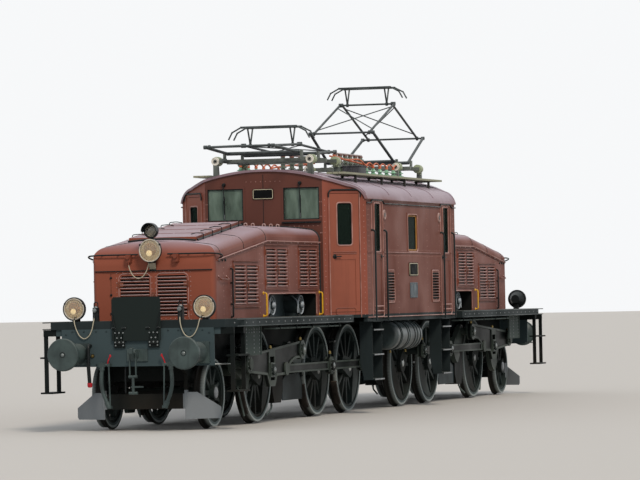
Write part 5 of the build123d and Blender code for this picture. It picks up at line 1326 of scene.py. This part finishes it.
            # corner wall and its door
            length, width = cab["straight"] + cab["end"], cab["halfWidth"] + cab["endHalf"]
            middle = Vector((way * length / 2, side * width / 2, 0))
            out = Vector((way * 0.717, side * 0.697, 0)).normalized()
            along = Vector((way * 0.697, -side * 0.717, 0)).normalized()
            corner = wallOf(middle, along, out)
            black.append(arcOver(corner, 0, 0.275, 3.40, 0.11, 0.0125, 0.014))
            for a in (-0.262, 0.262):
                trims.append(wallPipe(corner, ((a, 1.46, 0.004), (a, 3.36, 0.004)), 0.008, sides=8))
            dressDoor(f"end_door_{word}_{number}", corner, 0, 0.125, 2.56, 3.20, 0.175)
            for a in (-0.335, 0.335):
                rivets += wallRow(node, corner, (a, 1.5), (a, 3.25), 0.6, 22)
            for h in (2.75, 3.0, 3.22):
                rivets += wallRow(node, end, (side * 0.9, h), (side * 0.92, h), 0.6, 2)
        rivets += wallRow(node, end, (-0.86, 2.86), (0.86, 2.86), 0.6, 24)
        rivets += wallRow(node, end, (-0.27, 3.55), (0.27, 3.55), 0.6, 8)
        for low, high in ((2.9, 3.27), (3.45, 3.66)):  # seam down the middle
            black.append(wallPipe(end, ((0, low, 0), (0, high, 0)), 0.005, sides=6))
        plates.append(roundPlate(onWall(end, 0, 3.36, 0.008), 0.33, 0.014, 0.16, end["out"], 0.025))
        borders.append(trimRound(end, 0, 0.154, 3.291, 3.429, 0.005, 0.0155, 0.02))
    finishAll("body", "", (
        ("cabTrims", trims, "rubbedRed", "red_paint"),
        ("wiperEdges", pale, "rimGrey", "frame_paint"),
        ("ventRings", vents, "ventRose", "red_paint"),
        ("windowEdges", dark, "redTrim", "red_paint"),
        ("cabGaskets", black, "blackEnamel", "frame_paint"),
        ("sashes", wood, "agedVarnish", "walkway_wood"),
        ("blankPlates", plates, "enamelPlate", "frame_paint"),
        ("plateBorders", borders, "paleEnamel", "red_paint"),
        ("castPlates", grey, "castPlateGrey", "motor_grey"),
        ("ventLips", lips, "rubbedRed", "red_paint"),
        ("doorGrips", grips, "rubbedRed", "red_paint"),
        ("cabRivets", rivets, "rubbedRed", "red_paint", cab["rivet"], rivetHead),
    ))


fitCab()
print("cab fitted")


# Running gear: brake blocks, guards, pipes, hub and pin caps, oil cups, straps and the deck's edge

gear = {"axle": 0.675, "throw": 0.300, "blockRadius": 0.691, "blockMiddle": 0.785}
crankAngles = {(1, -1): 166.0, (2, -1): 42.0, (1, 1): 256.0, (2, 1): 132.0}
shaftPlaces = (
    ("jackshaft", 4.77, 0.94), ("blind_shaft", 7.35, 0.78), ("wheelset_outer", 6.25, 0.675),
    ("wheelset_middle", 3.25, 0.675), ("wheelset_inner", 1.55, 0.675))


def brakeBlock(way, u, side, angle):  # a cast shoe that follows the tread, spun from its section
    clearSelection()
    bpy.ops.mesh.primitive_plane_add(size=1)
    piece = bpy.context.object
    useMode("EDIT")
    mesh = bmesh.from_edit_mesh(piece.data)
    for v in mesh.verts:
        v.co = (gear["blockRadius"] + (0.052 if v.co.x > 0 else 0.0), 0.042 if v.co.y > 0 else -0.042, 0)
    bmesh.update_edit_mesh(piece.data)
    bpy.ops.mesh.select_all(action="SELECT")
    bpy.ops.mesh.spin(steps=8, angle=math.radians(32), center=(0, 0, 0), axis=(0, 1, 0))
    bpy.ops.mesh.select_all(action="SELECT")
    bpy.ops.mesh.normals_make_consistent(inside=False)
    useMode("OBJECT")
    piece.data.transform(Matrix.Rotation(math.radians(-16), 4, "Y"))
    piece.data.transform(Matrix.Rotation(math.radians(angle), 4, "Y"))
    piece.data.transform(Matrix.Translation(at(way, u, side * gear["blockMiddle"], gear["axle"])))
    useModifier(piece, "BEVEL", width=0.004, segments=2, limit_method="ANGLE")
    return piece


def fitRunningGear(number, way):
    body, deck = f"truck_{number}", f"running_plate_{number}"
    black, shoes, guards, pipes, lips, rivets, bolts, steel = ([] for _ in range(8))
    for side, _ in flanks:
        pos = onFlank(way, side)
        # brake blocks on the outer side of the driving wheels, hung from brackets on the frame plate
        for u in (6.25, 3.25, 1.55):
            out = u + gear["blockRadius"] + 0.03
            shoes.append(brakeBlock(way, u, side, 0 if way > 0 else 180))
            black.append(plate(pos(out + 0.012, 0.762, 0.60), pos(out + 0.034, 0.808, 1.13), 0.004))
            for h in (0.675, 1.09):
                steel.append(pipe([
                    pos(out + 0.023, 0.735, h), pos(out + 0.023, 0.832, h)], 0.017, sides=12))
            black.append(plate(pos(out + 0.003, 0.606, 1.06), pos(out + 0.045, 0.742, 1.12), 0.006))
            black.append(pipe([
                pos(out + 0.023, 0.812, 0.62), pos(out + 0.023, 0.60, 0.50),
                at(way, out + 0.023, 0.0, 0.50)], 0.02, 0.05))
        # low guard between the first two driving wheels, its top corners cut, a rolled edge round it
        outline = ((4.96, 0.27), (3.97, 0.27), (3.97, 0.50), (4.10, 0.64), (4.72, 0.64), (4.96, 0.56))
        for (u0, h0), (u1, h1) in zip(outline, outline[1:] + outline[:1]):
            guards.append(pipe([pos(u0, 0.79, h0), pos(u1, 0.79, h1)], 0.008, sides=8))
        guards.append(guardSheet(way, side, outline))
        # sand pipes: down from the box to the rail ahead of the wheel
        pipes.append(pipe([
            pos(5.40, 0.76, 0.27), pos(5.44, 0.775, 0.17), pos(5.74, 0.785, 0.075)], 0.014, 0.05))
        pipes.append(pipe([
            pos(7.02, 0.70, 0.95), pos(7.06, 0.76, 0.60), pos(6.80, 0.785, 0.10)], 0.014, 0.08))
        steel.append(turned([
            (0, 0.016), (0.02, 0.014), (0.024, 0.0), (0.02, -0.014), (0, -0.016)], pos(5.42, 0.768, 0.22),
            (0, side, 0), 12))
        # air pipe under the deck with its clips, both ends turned in
        pipes.append(pipe([
            pos(6.95, 1.16, 1.345), pos(6.95, 1.31, 1.345), pos(3.55, 1.31, 1.345), pos(3.55, 1.16, 1.345)],
            0.013, 0.06))
        for u in (6.7, 5.9, 5.1, 4.3, 3.7):
            black.append(plate(pos(u - 0.012, 1.29, 1.33), pos(u + 0.012, 1.33, 1.388), 0.003))
        # rolled lips along the deck's edge, bolts between them, their pale heads painted highlights
        for low, high in ((1.483, 1.4985), (1.3915, 1.404)):
            lips.append(plate(pos(9.02, 1.416, low), pos(3.36, 1.4275, high), 0.003))
        bolts += rowOn(deck, pos(8.9, 1.8, 1.444), pos(3.45, 1.8, 1.444), 19, (0, -side, 0))
        for u in (7.36, 7.62, 7.96):
            rivets += rowOn(deck, pos(u, 1.8, 1.02), pos(u, 1.8, 1.36), 7, (0, -side, 0))
        for h in (1.30, 1.34):
            rivets += rowOn(deck, pos(7.36, 1.8, h), pos(7.96, 1.8, h), 6, (0, -side, 0))
    finishAll(body, number, (
        ("hangers", black, "frameBlack", "frame_paint"),
        ("brakeBlocks", shoes, "brakeIron", "shaft_steel"),
        ("wheelGuards", guards, "beamPaint", "frame_paint"),
        ("sandPipes", pipes, "rubberHose", "frame_paint"),
        ("deckLips", lips, "deckLip", "deck_paint"),
        ("gearPins", steel, "wornSteel", "shaft_steel"),
        ("deckBolts", bolts, "rimGrey", "deck_paint", 0.012, rivetHead),
        ("plateRivets", rivets, "rimGrey", "deck_paint", 0.011, rivetHead),
    ))


def guardSheet(way, side, outline):  # one closed sheet from its outline, thickened
    clearSelection()
    bpy.ops.mesh.primitive_circle_add(vertices=len(outline), radius=1, fill_type="NGON")
    piece = bpy.context.object
    useMode("EDIT")
    mesh = bmesh.from_edit_mesh(piece.data)
    mesh.verts.ensure_lookup_table()
    for v, (u, h) in zip(mesh.verts, outline):
        v.co = at(way, u, side * 0.79, h)
    bmesh.update_edit_mesh(piece.data)
    useMode("OBJECT")
    useModifier(piece, "SOLIDIFY", thickness=0.008, offset=0.0)
    useMode("EDIT")
    bpy.ops.mesh.select_all(action="SELECT")
    bpy.ops.mesh.normals_make_consistent(inside=False)
    useMode("OBJECT")
    return piece


def capShafts(number, way):  # caps that turn with their wheelset or shaft, and what the rods carry
    for name, u, height in shaftPlaces:
        node, caps, nuts = f"{name}_{number}", [], []
        for side, word in flanks:
            pos = onFlank(way, side)
            angle = math.radians(crankAngles[(number, side)])
            outward = (0, side, 0)
            pin = around(pos(u, 1.6, height), gear["throw"], angle)
            spot = strike(node, pin, (0, -side, 0))
            if spot and name != "blind_shaft":  # the hanging plate runs close to its pin
                caps.append(turned([
                    (0, 0.012), (0.02, 0.0115), (0.034, 0.007), (0.042, 0.0), (0, 0.0)], spot[0], outward,
                    20))
                nuts += [
                    (around(spot[0], 0.024, k * math.tau / 3, side * 0.008), outward) for k in range(3)]
            rods = f"drive_rods_{word}_{number}"
            top = strike(rods, (pin.x, side * 1.11, pin.z + 0.5), (0, 0, -1))
            face = [
                strike(rods, around(pin, 0.088, math.radians(20 + 45 * k)), (0, -side, 0))
                for k in range(8)]
            face = [s for s in face if s and abs(s[1].y) > 0.9]
            if face:
                finish(studs(
                    f"rodNuts{name}{word}{number}", face, 0.0115, boltHead), rods, "wornSteel",
                    "shaft_steel", 30)
            if top:
                cup = turned([
                    (0, 0.05), (0.016, 0.048), (0.018, 0.04), (0.024, 0.038), (0.026, 0.004), (0.02, 0.0),
                    (0, 0.0)], top[0] - upBy(0.002), (0, 0, 1), 16)
                finish(join(f"oilCup{name}{word}{number}", [cup]), rods, "wornBrass", "copper")
            hub = strike(node, pos(u, 1.6, height), (0, -side, 0))
            if hub and name.startswith("wheelset"):
                caps.append(turned([(0, 0.010), (0.05, 0.008), (0.06, 0.0), (0, 0.0)], hub[0], outward, 24))
        if caps:
            finish(join(f"pinCaps{name}{number}", caps), node, "wornSteel", "shaft_steel")
        if nuts:
            finish(studs(
                f"pinNuts{name}{number}", nuts, 0.007, boltHead), node, "blackEnamel", "shaft_steel", 30)
    node, caps = f"wheelset_carrying_{number}", []
    for side, word in flanks:
        hub = strike(node, at(way, 8.25, side * 1.6, 0.475), (0, -side, 0))
        caps.append(turned([
            (0, 0.016), (0.055, 0.013), (0.075, 0.006), (0.08, 0.0), (0, 0.0)], hub[0], (0, side, 0), 24))
    finish(join(f"carryingCaps{number}", caps), node, "rimGrey", "shaft_steel")


# straps of the air reservoirs, drain cocks, nosings of the ladder treads, bolts of their rails
def fitUnderframe():
    straps, nosings, bolts, taps = [], [], [], []
    for side, _ in flanks:
        y = side * 1.15
        for x in (-0.42, 0.0, 0.42, 0.74):
            straps.append(turned([
                (0.2245, -0.022), (0.2295, -0.020), (0.2295, 0.020), (0.2245, 0.022), (0.2245, -0.022)],
                at(1, x, y, 1.15), (1, 0, 0), 40))
            straps.append(plate(at(1, x - 0.022, y - 0.02, 1.36), at(1, x + 0.022, y + 0.02, 1.42)))
        for x in (-0.3, 0.6):
            taps.append(turned([
                (0, 0.0), (0.014, 0.0), (0.014, 0.03), (0.02, 0.034), (0.02, 0.05), (0, 0.05)],
                at(1, x, y, 0.925), (0, 0, -1), 14))
        for middle in (-2.055, 2.055):  # of the ladder
            # pale strips along the treads' front edges: painted highlights
            for h in (0.49, 0.87, 1.25):
                nosings.append(plate(
                    at(1, middle - 0.262, side * 1.462, h - 0.002),
                    at(1, middle + 0.262, side * 1.4745, h + 0.018)))
            for x in (middle - 0.275, middle + 0.275):
                bolts += rowOn(
                    "steps_and_rails", at(1, x, side * 1.9, 0.56), at(1, x, side * 1.9, 1.30), 6,
                    (0, -side, 0))
    finishAll("body", "", (
        ("reservoirStraps", straps, "frameBlack", "frame_paint"),
        ("drainTaps", taps, "wornBrass", "copper"),
        ("treadNosings", nosings, "rimGrey", "deck_paint"),
        ("ladderBolts", bolts, "frameBlack", "deck_paint", 0.011, boltHead),
    ))


def fitMotors(number, way):  # blowers in the recess: bright rims, domes, bolts and the pale corner gussets
    rims, domes, bolts, edges = [], [], [], []
    for side, _ in flanks:
        pos = onFlank(way, side)
        for u in (5.38, 3.95):
            middle, outward = pos(u, 0.793, 1.668), (0, side, 0)
            rims.append(turned([
                (0.128, -0.004), (0.128, 0.010), (0.137, 0.016), (0.146, 0.010), (0.146, -0.004),
                (0.128, -0.004)], middle, outward, 40))
            domes.append(turned([
                (0, 0.036), (0.024, 0.034), (0.044, 0.024), (0.055, 0.004), (0.055, 0.0), (0, 0.0)],
                middle + Vector((0, side * 0.02, 0)), outward, 28))
            bolts += [(around(middle, 0.093, k * math.tau / 8), outward) for k in range(8)]
            bolts += [
                (around(middle, 0.151, 0.26 + k * math.tau / 6, side * -0.018), outward) for k in range(6)]
            domes.append(pipe([
                pos(u + 0.12, 0.70, 1.80), pos(u + 0.16, 0.80, 1.72), pos(u + 0.17, 0.80, 1.55)], 0.011,
                0.04))
        edges.append(pipe([
            pos(5.93, 0.904, 1.53), pos(5.93, 0.904, 1.84), pos(3.48, 0.904, 1.84), pos(3.48, 0.904, 1.53)],
            0.009, 0.07, sides=8))
    finishAll(f"truck_{number}", number, (
        ("blowerRims", rims, "blowerRim", "motor_grey"),
        ("blowerDomes", domes, "blowerRim", "motor_grey"),
        ("blowerBolts", bolts, "wornSteel", "shaft_steel", 0.011, boltHead),
        ("recessEdges", edges, "rubbedRed", "red_paint"),
    ))


for number, way in trucks:
    fitRunningGear(number, way)
    capShafts(number, way)
    fitMotors(number, way)
fitUnderframe()
print("running gear fitted")


# Roof: fuse boxes, insulators under their conductors, caps of the base insulators, walkway bolts

roofSheds = (
    (0.0, 0.150), (0.020, 0.150), (0.022, 0.138), (0.030, 0.132), (0.030, 0.120), (0.058, 0.106),
    (0.060, 0.098), (0.030, 0.090), (0.030, 0.072), (0.082, 0.046), (0.085, 0.036), (0.060, 0.026),
    (0.034, 0.022), (0.034, 0.0), (0.0, 0.0))


def fitRoof():
    green, white, orange, boxes, caps, bolts, iron = ([] for _ in range(7))
    for side, _ in flanks:
        way = -side  # the far side repeats the near one, turned half round
        tops = []
        for k in range(6):
            x = way * (-0.10 + 0.40 * k)
            foot = strike("cab_roof", (x, side * 0.76, 5.0), (0, 0, -1))[0]
            green.append(turned(roofSheds, foot + upBy(0.02), (0, 0, 1), 32))
            white.append(turned([
                (0.064, 0.0), (0.080, 0.006), (0.0865, 0.014), (0.0865, 0.018), (0.078, 0.012),
                (0.062, 0.006), (0.064, 0.0)], foot + upBy(0.042), (0, 0, 1), 32))
            iron.append(turned([
                (0, 0.024), (0.048, 0.022), (0.055, 0.0), (0.055, -0.02), (0, -0.02)], foot, (0, 0, 1), 24))
            orange.append(turned([
                (0, 0.042), (0.018, 0.038), (0.026, 0.024), (0.026, 0.004), (0.020, 0.0), (0, 0.0)],
                foot + upBy(0.168), (0, 0, 1), 18))
            tops.append(foot + upBy(0.196))
        for a, b in zip(tops, tops[1:]):  # bowed copper bars from top to top
            rise = upBy(0.055)
            orange.append(pipe([a, a.lerp(b, 0.28) + rise, a.lerp(b, 0.72) + rise, b], 0.0125, 0.08))
        lead = Vector((way * -1.72, side * 0.70, 4.0))
        orange.append(pipe([
            tops[0], tops[0] + Vector((way * -0.30, side * -0.02, 0.10)),
            tops[0] + Vector((way * -1.0, side * -0.05, 0.07)), lead], 0.014, 0.12))
        orange.append(pipe([
            tops[1], tops[1] + Vector((way * -0.35, side * -0.09, 0.04)),
            lead + Vector((way * 0.2, -side * 0.12, 0.0))], 0.014, 0.12))
        # ribbed fuse box in front of the row
        foot = strike("cab_roof", (way * -0.45, side * 0.66, 5.0), (0, 0, -1))[0].z

        def boxPlate(reach, y0, y1, low, high, edge=0.003):  # how far it stands out past the case's ends
            return plate(
                (way * (-0.66 - reach), side * y0, foot + low),
                (way * (-0.26 + reach), side * y1, foot + high), edge)

        boxes.append(boxPlate(0, 0.53, 0.81, -0.03, 0.16, 0.008))
        for k in range(7):
            rib = 0.555 + 0.038 * k
            boxes.append(boxPlate(0.008, rib - 0.006, rib + 0.006, 0.012, 0.148))
        boxes.append(boxPlate(0.014, 0.516, 0.824, 0.152, 0.168, 0.005))
        for end in (-1, 1):
            for u, face in ((3.19, 1), (1.69, -1)):
                for ring, radius, deep in ((caps, 0.064, 0.012), (iron, 0.030, 0.022)):
                    profile = [
                        (0, deep), (radius * 0.55, deep), (radius * 0.6, deep * 0.5),
                        (radius * 0.78, deep * 0.5), (radius * 0.84, deep * 0.85), (radius, deep * 0.6),
                        (radius, -0.004), (0, -0.004)]
                    node = strike(
                        "pantograph_bases", (end * (u + face * 0.4), side * 0.752, 3.88 + railTop),
                        (-end * face, 0, 0))
                    if node:
                        ring.append(turned(profile, node[0], (end * face, 0, 0), 28))
            for u in (2.16, 0.675):
                for y in (0.965, 1.025, 1.07, 1.11, 1.165):
                    spot = strike("roof_walkways", (end * u, side * y, 5.0), (0, 0, -1))
                    if spot:
                        bolts.append(spot)
    finishAll("body", "", (
        ("roofInsulators", green, "greenGlaze", "lamp_body"),
        ("insulatorRims", white, "whiteGlaze", "lamp_body"),
        ("roofBusbars", orange, "orangeConductor", "copper"),
        ("fuseBoxes", boxes, "fuseBoxGrey", "roof_paint"),
        ("baseCaps", caps, "whiteGlaze", "pantograph_paint"),
        ("insulatorFeet", iron, "frameBlack", "pantograph_paint"),
        ("plankBolts", bolts, "rimGrey", "walkway_wood", 0.011, rivetHead),
    ))


fitRoof()
print("roof fitted")


for head in (rivetHead, boltHead):
    bpy.data.objects.remove(head)
